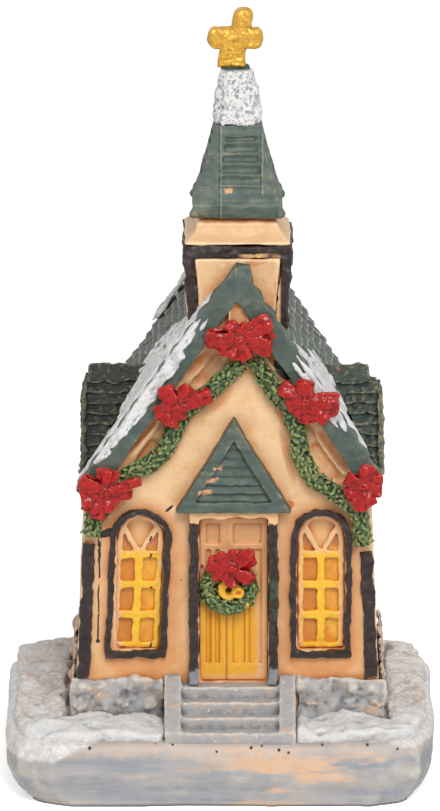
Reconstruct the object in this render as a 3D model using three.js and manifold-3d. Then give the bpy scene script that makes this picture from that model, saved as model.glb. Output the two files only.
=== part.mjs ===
import * as THREE from 'three';
import { mergeVertices } from 'three/addons/utils/BufferGeometryUtils.js';
import Module from 'manifold-3d';

// A small cast-resin church with a lamp inside, on a snowy slab.
// Millimetres, +Z up. The front looks along -Y, and z = 0 is the underside of the slab.

const wasm = await Module();
wasm.setup();

// Clearance between seated pieces, and between faces that only just touch a slanted one
const fit = 0.1;

// Slab
const slabWidth = 60;
const slabDepth = 50;
const slabHeight = 9;
const slabFrontStraight = 47;
const slabFrontCorner = 12;
const slabRearCorner = 8;
const slabFootInset = 3.2;
const slabFullZ = 4.2;
const slabEdgeRound = 1.1;
const slabWander = 0.5;

// Walls, given at the eaves; they spread by wallFlare at the foot
const frontY = -14;
const naveLength = 33;
const wallThickness = 2;
const wallLeftX = -18.8;
const wallRightX = 20.9;
const wallFlare = 1.4;
const wallStraightZ = 42;

// Nave roof: outer surface through the ridge and the two eaves
const ridgeX = 2.4;
const ridgeZ = 74.8;
const eaveLeftX = -19.5;
const eaveLeftZ = 43.2;
const eaveRightX = 22;
const eaveRightZ = 44.7;
const roofThickness = 2.2;
const courseStep = 0.5;
const coursePitch = 1.6;
const rearOverhang = 0.8;

// Cross roofs
const crossRidgeY = 0.4;
const crossRidgeZ = 57.9;
const crossHalfSpan = 12.2;
const crossEaveZ = 44;
const crossThickness = 1.9;
const crossVergeLeftX = -19.3;
const crossVergeRightX = 22.7;
const crossEndSteps = [2, 0.9, 0.3];
const vergeWidth = 0.7;
const vergeRise = 0.3;

// Bargeboards
const boardWidth = 2.8;
const boardDepth = 2.2;
const boardRise = 0.3;
const scallopPitch = 3.1;
const scallopHeight = 0.45;

// Gable moulding and the sunk ovals below it
const mouldingWidth = 1.5;
const mouldingDepth = 0.5;
const ovalWidth = 1.7;
const ovalSink = 0.6;
const ovalSpans = [[8.6, 14.2], [23.6, 30]];

// Windows
const windowLeftX = -11;
const windowRightX = 14;
const windowWidth = 6.6;
const windowSillZ = 19.7;
const windowTopZ = 39.1;
const frameWidth = 1.05;
const frameDepth = 0.9;
const barWidth = 1.1;
const forkWidth = 0.75;
const barDepth = 1.1;
const barBorder = 0.75;
const windowRows = 3;
const transomDrop = 2.6;
const paneThickness = 0.6;
const paneLap = 0.9;

// Door and porch
const doorX = 1.9;
const doorWidth = 9.6;
const doorSeamX = 0.9;
const doorTopZ = 38.6;
const leafThickness = 1;
const leafStile = 0.85;
const leafSink = 0.4;
const leafTopPanel = 2.9;
const leafFootRail = 2.4;
const porchPostWidth = 1.4;
const porchDepth = 1.9;
const porchTopZ = 40.1;
const lintelHeight = 1.1;
const pedimentWidth = 16;
const pedimentPeakZ = 53.3;
const pedimentDepth = 2.7;
const pedimentBorder = 1.5;
const pedimentSink = 0.7;
const clapboardPitch = 1.3;

// Steps and plinth
const sillZ = 15;
const stepsX = 1.4;
const stepCount = 4;
const stepRun = 2.4;
const stepsWidth = 13.6;
const cheekWidth = 2.3;
const cheekTopZ = 16.2;
const cheekFlat = 1.2;
const cheekNose = 1.5;
const plinthTopZ = 15.8;
const plinthThickness = 1.1;
const stoneRows = 2;
const frontStones = 4;
const sideStones = 5;
const stoneProud = 0.45;

// Corner posts
const postWidth = 1.9;
const postDepth = 0.8;
const postTopLeftZ = 35.4;
const postTopRightZ = 33.9;

// Snow banks on the slab
const snowDepth = 2;
const snowRound = 0.7;
const snowInset = 0.6;
const snowFrontInset = 2.6;

// Snow on the roof: a strip along the bargeboard that spreads back beside the tower
const roofSnowThickness = 0.8;
const roofSnowGap = 0.8;
const roofSnowEave = 4;
const roofSnowTaper = 6;
const roofSnowWaist = 7;
const roofSnowUpperSpan = 4;
const roofSnowReach = 8.2;

// Tower
const towerX = 2.4;
const towerY = -4.6;
const towerWidth = 15.2;
const towerTopZ = 77.1;
const bandHeight = 1.9;
const towerPost = 1.6;
const neckTopZ = 80.5;
const neckWidth = 11.3;

// Spire
const spireLipWidth = 12.4;
const spireFootWidth = 11.4;
const spireTopWidth = 6.1;
const spireTopZ = 93.2;
const spireLipHeight = 2.6;
const louvreCount = 5;
const louvreFootZ = 84.4;
const louvreTopZ = 91.7;
const louvreShift = 0.5;
const louvreFootWidth = 6.2;
const louvreTopWidth = 4.2;
const louvreRecess = 0.8;
const louvreThickness = 0.5;
const cornerNub = 0.75;

// Cap of snow and cross
const capFootWidth = 7;
const capTopWidth = 4.5;
const capTopZ = 101;
const crossHeight = 8.6;
const crossArmSpan = 7.6;
const crossArmHeight = 3;
const crossArmFoot = 2.7;
const crossArmTip = 0.9;
const crossThick = 2.3;
const crossStemWidth = 4.2;
const crossStemShift = -0.4;
const crossHeadWidth = 2.7;
const crossHeadShift = 0.7;
const crossRound = 0.6;

// Evergreens and bows
const garlandRadius = 1.25;
const wreathRadius = 3.05;
const wreathTube = 1.05;
const wreathX = 1.3;
const wreathZ = 28.8;
const bowWidth = 9;
const bowHeight = 6.4;
const bowDepth = 1.9;
const wreathBowScale = 0.78;
const bowTop = { x: 3.1, z: 66, spread: 1.05 };
const bowUpperLeft = { x: -5, z: 55.6, spread: 0.9 };
const bowUpperRight = { x: 12, z: 56.1, spread: 0.94 };
const bowLowerLeft = { x: -15.2, z: 43.2, spread: 1 };
const bowLowerRight = { x: 19.7, z: 44, spread: 0.7 };
const wreathBowX = 1.7;
const wreathBowZ = 31.9;
// Routes of the two garlands over the gable, as X and Z, from the top bow down to the corner posts
const garlandRouteLeft = [
  [3.9, 62.1], [1.2, 59.8], [-1.3, 57.4], [-4.9, 54.5], [-6.3, 51.6], [-7.4, 49.2], [-9.4, 47], [-12.4, 45.6],
  [-15.1, 42.2], [-16.9, 39.4], [-17.4, 36.4],
];
const garlandRouteRight = [
  [4.9, 62], [6.4, 59.2], [8, 56.7], [9.9, 54.2], [10.8, 51.3], [11.1, 48], [12.3, 45.4], [14.5, 43.5],
  [17, 42.2], [18.9, 40], [19.8, 37.2], [19.9, 35],
];

// Light unit: three cells in a row along X, centred under the nave
const unitX = 0;
const unitY = 2;
const cellRadius = 5.8;
const cellLength = 5.4;
const cellCount = 3;
const cellCapRadius = 4.6;
const cellPlay = 0.3;
const holderWall = 0.95;
const flangeFaceZ = 0.5;
const flangeThickness = 1.4;
const flangeMargin = 2.6;
const flangeSide = 3.8;
const coverThickness = 1.2;
const coverLap = 1.5;
const coverGap = 0.2;
const tongueLength = 1;
const tongueThickness = 0.65;
const tongueWidth = 6;
const lipHeight = 0.5;
const springLength = 2.4;
const springWire = 0.5;
const springTurns = 4;
const contactThickness = 0.4;
const screwRadius = 0.95;
const screwHeadRadius = 1.7;
const screwHeadHeight = 0.55;
const screwLength = 3.4;
const screwPlay = 0.3;
const screwMargin = 3.1;
const switchLength = 8.6;
const switchWidth = 3.6;
const switchHeight = 3.5;
const switchFloorZ = 3;
const knobLength = 1.8;
const knobWidth = 1.6;
const knobTravel = 2;
const pinHeight = 2.4;
const ledRadius = 1.5;
const ledHeight = 4.3;
const ledFlangeRadius = 1.9;
const collarHeight = 1.6;
const wireRadius = 0.5;

// Values that follow
const rearY = frontY + naveLength;
const innerFrontY = frontY + wallThickness;
const innerRearY = rearY - wallThickness;
const farOut = 45;
const boardFrontY = frontY - boardDepth;
const towerFootZ = 55;
const spireLipZ = neckTopZ + spireLipHeight;

// Colours as painted
const paint = {
  slab: { color: 0xc3b9af, roughness: 0.7, metalness: 0 },
  snow: { color: 0xd7d8da, roughness: 0.75, metalness: 0 },
  stone: { color: 0xaaa69d, roughness: 0.75, metalness: 0 },
  peach: { color: 0xe4b076, roughness: 0.45, metalness: 0 },
  green: { color: 0x5d6b60, roughness: 0.6, metalness: 0 },
  shingle: { color: 0x474e46, roughness: 0.65, metalness: 0 },
  dark: { color: 0x3c3232, roughness: 0.6, metalness: 0 },
  yellow: { color: 0xedb739, roughness: 0.5, metalness: 0 },
  amber: { color: 0xe8a030, roughness: 0.35, metalness: 0 },
  red: { color: 0xc82323, roughness: 0.25, metalness: 0 },
  fir: { color: 0x3c6e37, roughness: 0.7, metalness: 0 },
  gold: { color: 0xd9aa4c, roughness: 0.35, metalness: 0.6 },
  white: { color: 0xe6e4de, roughness: 0.4, metalness: 0 },
  black: { color: 0x222222, roughness: 0.5, metalness: 0 },
  steel: { color: 0xb4b6b8, roughness: 0.3, metalness: 1 },
  lens: { color: 0xf6eac8, roughness: 0.15, metalness: 0 },
  leadRed: { color: 0xb42420, roughness: 0.45, metalness: 0 },
};

const church = new THREE.Group();

// Closed solid for joining and cutting, from a three.js geometry
function solid(geometry) {
  const bare = geometry.index ? geometry.toNonIndexed() : geometry.clone();
  bare.deleteAttribute('normal');
  bare.deleteAttribute('uv');
  const merged = mergeVertices(bare, 1e-4);
  return new wasm.Manifold(new wasm.Mesh({
    numProp: 3,
    vertProperties: new Float32Array(merged.attributes.position.array),
    triVerts: new Uint32Array(merged.index.array),
  }));
}

// Geometry of a joined or cut solid
function geometryOf(body) {
  const mesh = body.getMesh();
  const geometry = new THREE.BufferGeometry();
  geometry.setAttribute('position', new THREE.BufferAttribute(mesh.vertProperties, 3));
  geometry.setIndex(new THREE.BufferAttribute(mesh.triVerts, 1));
  geometry.computeVertexNormals();
  return geometry;
}

function place(name, finish, shape) {
  const geometry = shape.isBufferGeometry ? shape : geometryOf(shape);
  const mesh = new THREE.Mesh(geometry, new THREE.MeshStandardMaterial(finish));
  mesh.name = name;
  church.add(mesh);
  return mesh;
}

function polygon(points) {
  return new THREE.Shape(points.map(([u, v]) => new THREE.Vector2(u, v)));
}

// Box between two corners
function block(x0, x1, y0, y1, z0, z1) {
  const geometry = new THREE.BoxGeometry(x1 - x0, y1 - y0, z1 - z0);
  return geometry.translate((x0 + x1) / 2, (y0 + y1) / 2, (z0 + z1) / 2);
}

// Outline in X and Z, carried along Y
function alongY(shape, y0, y1, options = {}) {
  const geometry = new THREE.ExtrudeGeometry(shape, { depth: y1 - y0, bevelEnabled: false, ...options });
  return geometry.rotateX(Math.PI / 2).translate(0, y1, 0);
}

// Outline in Y and Z, carried along X
function alongX(shape, x0, x1) {
  const geometry = new THREE.ExtrudeGeometry(shape, { depth: x1 - x0, bevelEnabled: false });
  const turn = new THREE.Matrix4().makeBasis(
    new THREE.Vector3(0, 1, 0), new THREE.Vector3(0, 0, 1), new THREE.Vector3(1, 0, 0));
  return geometry.applyMatrix4(turn).translate(x0, 0, 0);
}

// Outline in X and Y, carried up
function upright(shape, z0, z1, options = {}) {
  const geometry = new THREE.ExtrudeGeometry(shape, { depth: z1 - z0, bevelEnabled: false, ...options });
  return geometry.translate(0, 0, z0);
}

// Upright slab with rounded upper and lower edges, kept inside its outline and height
function softSlab(shape, z0, z1, round) {
  const bevel = {
    bevelEnabled: true,
    bevelThickness: round,
    bevelSize: round,
    bevelOffset: -round,
    bevelSegments: 2,
    curveSegments: 5,
  };
  return upright(shape, z0 + round, z1 - round, bevel);
}

// Skin over rings of equally many points, closed at both ends.
// Each ring runs anticlockwise as seen from the far end, looking back.
function loft(rings) {
  const count = rings[0].length;
  const points = rings.flat();
  const index = [];
  for (let i = 0; i + 1 < rings.length; i += 1) {
    for (let j = 0; j < count; j += 1) {
      const a = i * count + j;
      const b = i * count + (j + 1) % count;
      index.push(a, b, b + count, a, b + count, a + count);
    }
  }
  const ends = [0, rings.length - 1];
  for (const end of ends) {
    const middle = new THREE.Vector3();
    rings[end].forEach((point) => middle.add(point));
    points.push(middle.divideScalar(count));
    for (let j = 0; j < count; j += 1) {
      const a = end * count + j;
      const b = end * count + (j + 1) % count;
      const corner = points.length - 1;
      index.push(...(end === 0 ? [corner, b, a] : [corner, a, b]));
    }
  }
  const geometry = new THREE.BufferGeometry().setFromPoints(points);
  geometry.setIndex(index);
  return geometry;
}

// Ring of points round a centre, in the plane of two directions
function ring(centre, across, up, count, radiusAt) {
  return Array.from({ length: count }, (_, k) => {
    const angle = 2 * Math.PI * k / count;
    const radius = radiusAt(angle);
    return centre.clone()
      .addScaledVector(across, radius * Math.cos(angle))
      .addScaledVector(up, radius * Math.sin(angle));
  });
}

// Nave roof planes. side is -1 on the left and 1 on the right, and t is the height above the underside.
function naveAngle(side) {
  const eaveX = side < 0 ? eaveLeftX : eaveRightX;
  const eaveZ = side < 0 ? eaveLeftZ : eaveRightZ;
  return Math.atan2(ridgeZ - eaveZ, Math.abs(eaveX - ridgeX));
}

function naveLengthDown(side) {
  const eaveX = side < 0 ? eaveLeftX : eaveRightX;
  const angle = naveAngle(side);
  return Math.abs(eaveX - ridgeX) / Math.cos(angle) - roofThickness * Math.tan(angle);
}

function naveZ(side, x, t) {
  const angle = naveAngle(side);
  return ridgeZ - (roofThickness - t) / Math.cos(angle) - Math.abs(x - ridgeX) * Math.tan(angle);
}

// Point at s down the slope from the ridge and t above the underside
function navePoint(side, s, t) {
  const angle = naveAngle(side);
  const x = ridgeX + side * (s * Math.cos(angle) + t * Math.sin(angle));
  const z = ridgeZ - roofThickness / Math.cos(angle) - s * Math.sin(angle) + t * Math.cos(angle);
  return [x, z];
}

// Everything under the nave roof planes at height t
function navePrism(t) {
  const outline = polygon([
    [-farOut, -1], [farOut, -1], [farOut, naveZ(1, farOut, t)],
    [ridgeX, naveZ(1, ridgeX, t)], [ridgeX, naveZ(-1, ridgeX, t)], [-farOut, naveZ(-1, -farOut, t)],
  ]);
  return solid(alongY(outline, -farOut, farOut));
}

const crossAngle = Math.atan2(crossRidgeZ - crossEaveZ, crossHalfSpan);

function crossZ(y, t) {
  return crossRidgeZ - (crossThickness - t) / Math.cos(crossAngle)
    - Math.abs(y - crossRidgeY) * Math.tan(crossAngle);
}

function crossPoint(side, s, t) {
  const y = crossRidgeY + side * (s * Math.cos(crossAngle) + t * Math.sin(crossAngle));
  const z = crossRidgeZ - crossThickness / Math.cos(crossAngle)
    - s * Math.sin(crossAngle) + t * Math.cos(crossAngle);
  return [y, z];
}

function crossPrism(t) {
  const reach = crossHalfSpan + 4;
  const outline = polygon([
    [crossRidgeY - reach, 0], [crossRidgeY + reach, 0], [crossRidgeY + reach, crossZ(crossRidgeY + reach, t)],
    [crossRidgeY, crossZ(crossRidgeY, t)], [crossRidgeY - reach, crossZ(crossRidgeY - reach, t)],
  ]);
  return solid(alongX(outline, -farOut, farOut));
}

// Section of a shingled slope: flat below, stepped above, mitred upright at the ridge
function shingleSection(pointAt, angle, length, thickness) {
  const low = thickness - courseStep;
  const points = [pointAt(0, 0), pointAt(length, 0), pointAt(length, thickness)];
  const courses = Math.round(length / coursePitch);
  const pitch = length / courses;
  for (let k = courses - 1; k > 0; k -= 1) {
    points.push(pointAt(k * pitch, low), pointAt(k * pitch, thickness));
  }
  points.push(pointAt(-low * Math.tan(angle), low));
  return points;
}

// Slab: an outline drawn in at the foot, full at mid height and rounded at the top
function slabOutline(inset, frontInset = inset) {
  const halfWidth = slabWidth / 2 - inset;
  const rear = slabDepth / 2 - inset;
  const front = -slabDepth / 2 + frontInset;
  const straight = slabFrontStraight / 2 - inset;
  const shape = new THREE.Shape();
  shape.moveTo(-straight, front);
  shape.lineTo(straight, front);
  shape.quadraticCurveTo(halfWidth, front, halfWidth, front + slabFrontCorner);
  shape.lineTo(halfWidth, rear - slabRearCorner);
  shape.quadraticCurveTo(halfWidth, rear, halfWidth - slabRearCorner, rear);
  shape.lineTo(-halfWidth + slabRearCorner, rear);
  shape.quadraticCurveTo(-halfWidth, rear, -halfWidth, rear - slabRearCorner);
  shape.lineTo(-halfWidth, front + slabFrontCorner);
  shape.quadraticCurveTo(-halfWidth, front, -straight, front);
  return shape;
}

// Ring of the slab at a height; the hand-shaped side wanders in and out
function slabRing(z, inset) {
  const count = 36;
  const points = slabOutline(inset).getSpacedPoints(count).slice(0, count);
  return points.map((point) => {
    const angle = point.angle();
    const wave = (2 + Math.sin(5 * angle + 0.4 * z) + Math.sin(9 * angle + 2)) / 4;
    const shrink = 1 - slabWander * (1 - wave) / point.length();
    return new THREE.Vector3(point.x * shrink, point.y * shrink, z);
  });
}

// Light unit, measured from its own middle
const bayHalfWidth = cellRadius + cellPlay;
const bayRight = (cellCount * cellLength + springLength + 2 * contactThickness + cellPlay * 2) / 2;
const bayLeft = -bayRight;
const cellAxisZ = flangeFaceZ + coverThickness + 2 * coverGap + cellRadius;
const bayRoofZ = cellAxisZ + cellRadius + coverGap;
const holderTopZ = bayRoofZ + holderWall;
const wellLeft = bayRight + coverLap;
const wellRight = wellLeft + switchWidth + 2 * coverGap;
const screwX = bayLeft - screwMargin;
const boxLeft = screwX - screwHeadRadius - holderWall;
const boxRight = wellRight + holderWall;
const boxHalf = bayHalfWidth + holderWall;
const flangeTopZ = flangeFaceZ + flangeThickness;
const coverTopZ = flangeFaceZ + coverThickness;
const rebateTopZ = coverTopZ + coverGap;
const coverLeft = boxLeft + holderWall / 2;
const coverRight = bayRight + coverLap / 2 - coverGap;
const coverHalf = bayHalfWidth + coverLap;

function slab() {
  const pocket = block(
    unitX + boxLeft - flangeMargin - coverGap, unitX + boxRight + flangeMargin + coverGap,
    unitY - boxHalf - flangeSide - coverGap, unitY + boxHalf + flangeSide + coverGap, -1, flangeTopZ + fit);
  const hole = block(
    unitX + boxLeft - coverGap, unitX + boxRight + coverGap,
    unitY - boxHalf - coverGap, unitY + boxHalf + coverGap, -1, slabHeight + 1);
  const body = loft([
    slabRing(0, slabFootInset),
    slabRing(slabFullZ * 0.25, slabFootInset * 0.5),
    slabRing(slabFullZ * 0.6, slabFootInset * 0.18),
    slabRing(slabFullZ, 0),
    slabRing(slabHeight - slabEdgeRound * 1.4, 0),
    slabRing(slabHeight - slabEdgeRound * 0.4, slabEdgeRound * 0.3),
    slabRing(slabHeight, slabEdgeRound),
  ]);
  return solid(body).subtract(solid(pocket)).subtract(solid(hole));
}
place('base_slab', paint.slab, slab());

// Arched outline round a middle, standing on footZ
function arch(x, width, footZ, topZ) {
  const half = width / 2;
  const shape = new THREE.Shape();
  shape.moveTo(x - half, footZ);
  shape.lineTo(x + half, footZ);
  shape.lineTo(x + half, topZ - half);
  shape.absarc(x, topZ - half, half, 0, Math.PI, false);
  return shape;
}
const archSegments = { curveSegments: 8 };

// Front wall with its openings, moulding and sunk ovals. A margin gives the room that the moulding needs.
function moulding(side, margin = 0) {
  const t1 = roofThickness + boardRise - boardWidth - fit + margin;
  const t0 = t1 - mouldingWidth - 2 * margin;
  const length = naveLengthDown(side) - boardWidth;
  const tan = Math.tan(naveAngle(side));
  return alongY(polygon([
    navePoint(side, -t0 * tan, t0), navePoint(side, length, t0),
    navePoint(side, length, t1), navePoint(side, -t1 * tan, t1),
  ]), frontY - mouldingDepth - margin, frontY + 1);
}

// Oval sunk into the gable along the slope, from s0 to s1 below the moulding
function gableOval(side, s0, s1) {
  const half = ovalWidth / 2;
  const t = roofThickness + boardRise - boardWidth - mouldingWidth - fit - half * 1.3;
  const shape = new THREE.Shape();
  shape.absarc(s0 + half, t, half, Math.PI / 2, Math.PI * 3 / 2, false);
  shape.absarc(s1 - half, t, half, -Math.PI / 2, Math.PI / 2, false);
  const outline = shape.getPoints(5).map((point) => navePoint(side, point.x, point.y));
  return alongY(polygon(side < 0 ? outline.reverse() : outline), frontY - 1, frontY + ovalSink);
}

function gableBlank(y0, y1) {
  return solid(alongY(polygon([
    [wallLeftX - wallFlare, slabHeight], [wallRightX + wallFlare, slabHeight],
    [wallRightX, wallStraightZ], [wallRightX, ridgeZ], [wallLeftX, ridgeZ], [wallLeftX, wallStraightZ],
  ]), y0, y1)).intersect(navePrism(-fit));
}

function frontWall() {
  let wall = gableBlank(frontY, innerFrontY);
  wall = wall.add(solid(moulding(-1))).add(solid(moulding(1)));
  for (const x of [windowLeftX, windowRightX]) {
    const opening = arch(x, windowWidth, windowSillZ, windowTopZ);
    wall = wall.subtract(solid(alongY(opening, frontY - 2, innerFrontY + 1, archSegments)));
  }
  for (const [s0, s1] of ovalSpans) {
    wall = wall.subtract(solid(gableOval(-1, s0, s1))).subtract(solid(gableOval(1, s0, s1)));
  }
  const doorway = block(
    doorX - doorWidth / 2, doorX + doorWidth / 2, frontY - 1, innerFrontY + 1, sillZ, doorTopZ);
  return wall.subtract(solid(doorway));
}
place('front_wall', paint.peach, frontWall());
place('rear_wall', paint.peach, gableBlank(innerRearY, rearY));

// Side walls, each with the gable of its cross roof
function sideWall(side) {
  const outer = side < 0 ? wallLeftX : wallRightX;
  const inner = outer - side * wallThickness;
  const section = polygon([
    [outer + side * wallFlare, slabHeight], [outer, wallStraightZ],
    [outer, crossRidgeZ], [inner, crossRidgeZ], [inner, slabHeight],
  ]);
  return solid(alongY(section, innerFrontY, innerRearY)).intersect(navePrism(-fit).add(crossPrism(-fit)));
}
place('left_wall', paint.peach, sideWall(-1));
place('right_wall', paint.peach, sideWall(1));

// Nave roof, opened where the cross roofs run in
function naveRoof(side) {
  const length = naveLengthDown(side);
  const section = shingleSection((s, t) => navePoint(side, s, t), naveAngle(side), length, roofThickness);
  const slope = solid(alongY(polygon(section), frontY, rearY + rearOverhang));
  return slope.subtract(crossPrism(0));
}
place('main_roof_left', paint.shingle, naveRoof(-1));
place('main_roof_right', paint.shingle, naveRoof(1));

// Cross roofs, cut where they meet the nave roof. The top courses stop short of the verge.
function crossRoof(side, end) {
  const length = crossHalfSpan / Math.cos(crossAngle) - crossThickness * Math.tan(crossAngle);
  const pointAt = (s, t) => crossPoint(end, s, t);
  const section = shingleSection(pointAt, crossAngle, length, crossThickness);
  const verge = side < 0 ? crossVergeLeftX : crossVergeRightX;
  const span = (x) => [Math.min(verge, x), Math.max(verge, x)];
  let slope = solid(alongX(polygon(section), ...span(ridgeX)));
  const pitch = length / Math.round(length / coursePitch);
  const stripTop = crossThickness + vergeRise;
  const strip = polygon([
    pointAt(pitch, 0), pointAt(length, 0), pointAt(length, stripTop), pointAt(pitch, stripTop),
  ]);
  slope = slope.add(solid(alongX(strip, ...span(verge - side * vergeWidth))));
  crossEndSteps.forEach((cut, k) => {
    const reach = k === 0 ? -2 * crossThickness * Math.tan(crossAngle) : k * pitch;
    const band = polygon([
      pointAt(reach, -1), pointAt((k + 1) * pitch, -1), pointAt((k + 1) * pitch, stripTop + 1),
      pointAt(reach, stripTop + 1),
    ]);
    const depth = side < 0 ? cut / 2 : cut;
    const x0 = verge - side * depth;
    const x1 = verge + side;
    slope = slope.subtract(solid(alongX(band, Math.min(x0, x1), Math.max(x0, x1))));
  });
  return slope.subtract(navePrism(roofThickness + fit));
}
place('cross_roof_left_front', paint.shingle, crossRoof(-1, -1));
place('cross_roof_left_rear', paint.shingle, crossRoof(-1, 1));
place('cross_roof_right_front', paint.shingle, crossRoof(1, -1));
place('cross_roof_right_rear', paint.shingle, crossRoof(1, 1));

// Scalloped bargeboard, mitred at the peak
function bargeboard(side) {
  const tan = Math.tan(naveAngle(side));
  const length = naveLengthDown(side) + boardRise;
  const outer = roofThickness + boardRise;
  const inner = outer - boardWidth;
  const scallops = Math.round(length / scallopPitch);
  const outline = [navePoint(side, -inner * tan, inner), navePoint(side, length, inner)];
  const facets = 4;
  for (let k = scallops * facets; k > 0; k -= 1) {
    const swell = Math.sin(Math.PI * (k % facets) / facets);
    outline.push(navePoint(side, length * k / (scallops * facets), outer + scallopHeight * swell));
  }
  outline.push(navePoint(side, -outer * tan, outer));
  return alongY(polygon(outline), boardFrontY, frontY);
}
place('bargeboard_left', paint.green, bargeboard(-1));
place('bargeboard_right', paint.green, bargeboard(1));

// Windows: frame on the wall, bars in the opening, pane behind
function windowFrame(x) {
  const outer = arch(x, windowWidth + 2 * frameWidth, windowSillZ - frameWidth, windowTopZ + frameWidth);
  const inner = arch(x, windowWidth, windowSillZ, windowTopZ);
  return solid(alongY(outer, frontY - frameDepth, frontY, archSegments))
    .subtract(solid(alongY(inner, frontY - frameDepth - 1, frontY + 1, archSegments)));
}

function tracery(x) {
  const front = innerFrontY - barDepth;
  const width = windowWidth - 2 * fit;
  const foot = windowSillZ + fit;
  const top = windowTopZ - fit;
  const outer = solid(alongY(arch(x, width, foot, top), front, innerFrontY, archSegments));
  const hole = arch(x, width - 2 * barBorder, foot + barBorder, top - barBorder);
  const inside = solid(alongY(hole, front - 1, innerFrontY + 1, archSegments));
  const transomZ = top - width / 2 - transomDrop;
  const bar = (x0, x1, z0, z1) => solid(block(x0, x1, front, innerFrontY, z0, z1));
  let bars = bar(x - barWidth / 2, x + barWidth / 2, foot, transomZ);
  for (let k = 1; k <= windowRows; k += 1) {
    const z = foot + barBorder / 2 + (transomZ - foot - barBorder / 2) * k / windowRows;
    bars = bars.add(bar(x - width / 2, x + width / 2, z - barWidth / 2, z + barWidth / 2));
  }
  for (const side of [-1, 1]) {
    const branch = block(-forkWidth / 2, forkWidth / 2, front, innerFrontY, 0, width * 1.5);
    branch.rotateY(side * Math.PI / 6).translate(x, 0, transomZ);
    bars = bars.add(solid(branch));
  }
  return outer.subtract(inside).add(bars.intersect(outer));
}

function pane(x) {
  const lap = 2 * paneLap;
  const outline = arch(x, windowWidth + lap, windowSillZ - paneLap, windowTopZ + paneLap);
  return alongY(outline, innerFrontY, innerFrontY + paneThickness, archSegments);
}

for (const [side, x] of [['left', windowLeftX], ['right', windowRightX]]) {
  place(`window_frame_${side}`, paint.dark, windowFrame(x));
  place(`window_tracery_${side}`, paint.yellow, tracery(x));
  place(`window_pane_${side}`, paint.amber, pane(x));
}

// Door leaves, each with a short panel over a tall one that has a bar down its middle
function leaf(x0, x1) {
  const back = innerFrontY - fit;
  const face = back - leafThickness;
  const foot = sillZ + fit;
  const top = doorTopZ - fit;
  const railZ = top - leafStile - leafTopPanel;
  const sunk = (z0, z1) => solid(block(x0 + leafStile, x1 - leafStile, face - 1, face + leafSink, z0, z1));
  const middle = (x0 + x1) / 2;
  const ridge = block(middle - leafStile / 3, middle + leafStile / 3, face, back, foot, railZ);
  return solid(block(x0, x1, face, back, foot, top))
    .subtract(sunk(foot + leafFootRail, railZ - leafStile))
    .subtract(sunk(railZ, top - leafStile))
    .add(solid(ridge));
}
place('door_leaf_left', paint.yellow, leaf(doorX - doorWidth / 2 + fit, doorSeamX - fit / 2));
place('door_leaf_right', paint.yellow, leaf(doorSeamX + fit / 2, doorX + doorWidth / 2 - fit));

// Porch: posts and lintel round the door, with a clapboarded gable on top
function porchFrame() {
  const half = doorWidth / 2;
  const reach = half + porchPostWidth;
  const frontFace = frontY - porchDepth;
  const outer = block(doorX - reach, doorX + reach, frontFace, frontY, sillZ, porchTopZ);
  const gapTop = porchTopZ - lintelHeight;
  const inner = block(doorX - half, doorX + half, frontFace - 1, frontY + 1, sillZ - 1, gapTop);
  return solid(outer).subtract(solid(inner));
}
place('porch_frame', paint.dark, porchFrame());

function pediment() {
  const half = pedimentWidth / 2;
  const rise = pedimentPeakZ - porchTopZ;
  const gable = (shrink) => {
    const slant = Math.hypot(half, rise);
    const topZ = pedimentPeakZ - shrink * slant / half;
    const spread = half - shrink * (slant + half) / rise;
    return polygon([[doorX - spread, porchTopZ + shrink], [doorX + spread, porchTopZ + shrink], [doorX, topZ]]);
  };
  const face = frontY - pedimentDepth;
  const floor = face + pedimentSink;
  const air = [[face - 1, porchTopZ], [floor, porchTopZ]];
  for (let z = porchTopZ + clapboardPitch; z < pedimentPeakZ; z += clapboardPitch) {
    air.push([floor + pedimentSink / 2, z], [floor, z]);
  }
  air.push([floor, pedimentPeakZ], [face - 1, pedimentPeakZ]);
  const sunk = solid(alongX(polygon(air), doorX - half, doorX + half))
    .intersect(solid(alongY(gable(pedimentBorder), face - 1, frontY)));
  return solid(alongY(gable(0), face, frontY)).subtract(sunk);
}
place('porch_pediment', paint.green, pediment());

// Stairs with a sloping cheek wall at each side
function stairs() {
  const rise = (sillZ - slabHeight) / stepCount;
  const profile = [[frontY, slabHeight], [frontY, sillZ]];
  for (let k = 0; k < stepCount; k += 1) {
    const y = frontY - stepRun * (k + 1);
    profile.push([y, sillZ - rise * k], [y, sillZ - rise * (k + 1)]);
  }
  const half = stepsWidth / 2;
  const flight = solid(alongX(polygon(profile), stepsX - half, stepsX + half));
  const front = frontY - stepRun * stepCount - fit;
  const side = polygon([
    [frontY, slabHeight], [frontY, cheekTopZ], [frontY - cheekFlat, cheekTopZ],
    [front, slabHeight + cheekNose], [front, slabHeight],
  ]);
  const cheek = (x0) => solid(alongX(side, x0, x0 + cheekWidth));
  return flight.add(cheek(stepsX - half - cheekWidth)).add(cheek(stepsX + half));
}
place('front_steps', paint.stone, stairs());

// Stone plinth: a run across the front and a run along the side, with rough stones standing proud.
// The stones begin above the snow that banks against the plinth.
const stairEdge = stepsWidth / 2 + cheekWidth + fit;

function stones(spanStart, spanEnd, count, at) {
  const footZ = slabHeight + snowDepth + fit;
  const rowHeight = (plinthTopZ - footZ) / stoneRows;
  const pitch = (spanEnd - spanStart) / count;
  const bodies = [];
  for (let row = 0; row < stoneRows; row += 1) {
    for (let k = 0; k < count; k += 1) {
      const odd = (k + row) % 2;
      const stone = new THREE.IcosahedronGeometry(1, 0).rotateY(k * 1.3 + row).rotateX(k * 0.9);
      const long = pitch * (0.5 - 0.06 * odd);
      const along = spanStart + pitch * (k + 0.38 + 0.24 * odd);
      bodies.push(solid(at(stone, long, rowHeight * 0.49, along, footZ + rowHeight * (row + 0.5))));
    }
  }
  return bodies;
}

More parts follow.
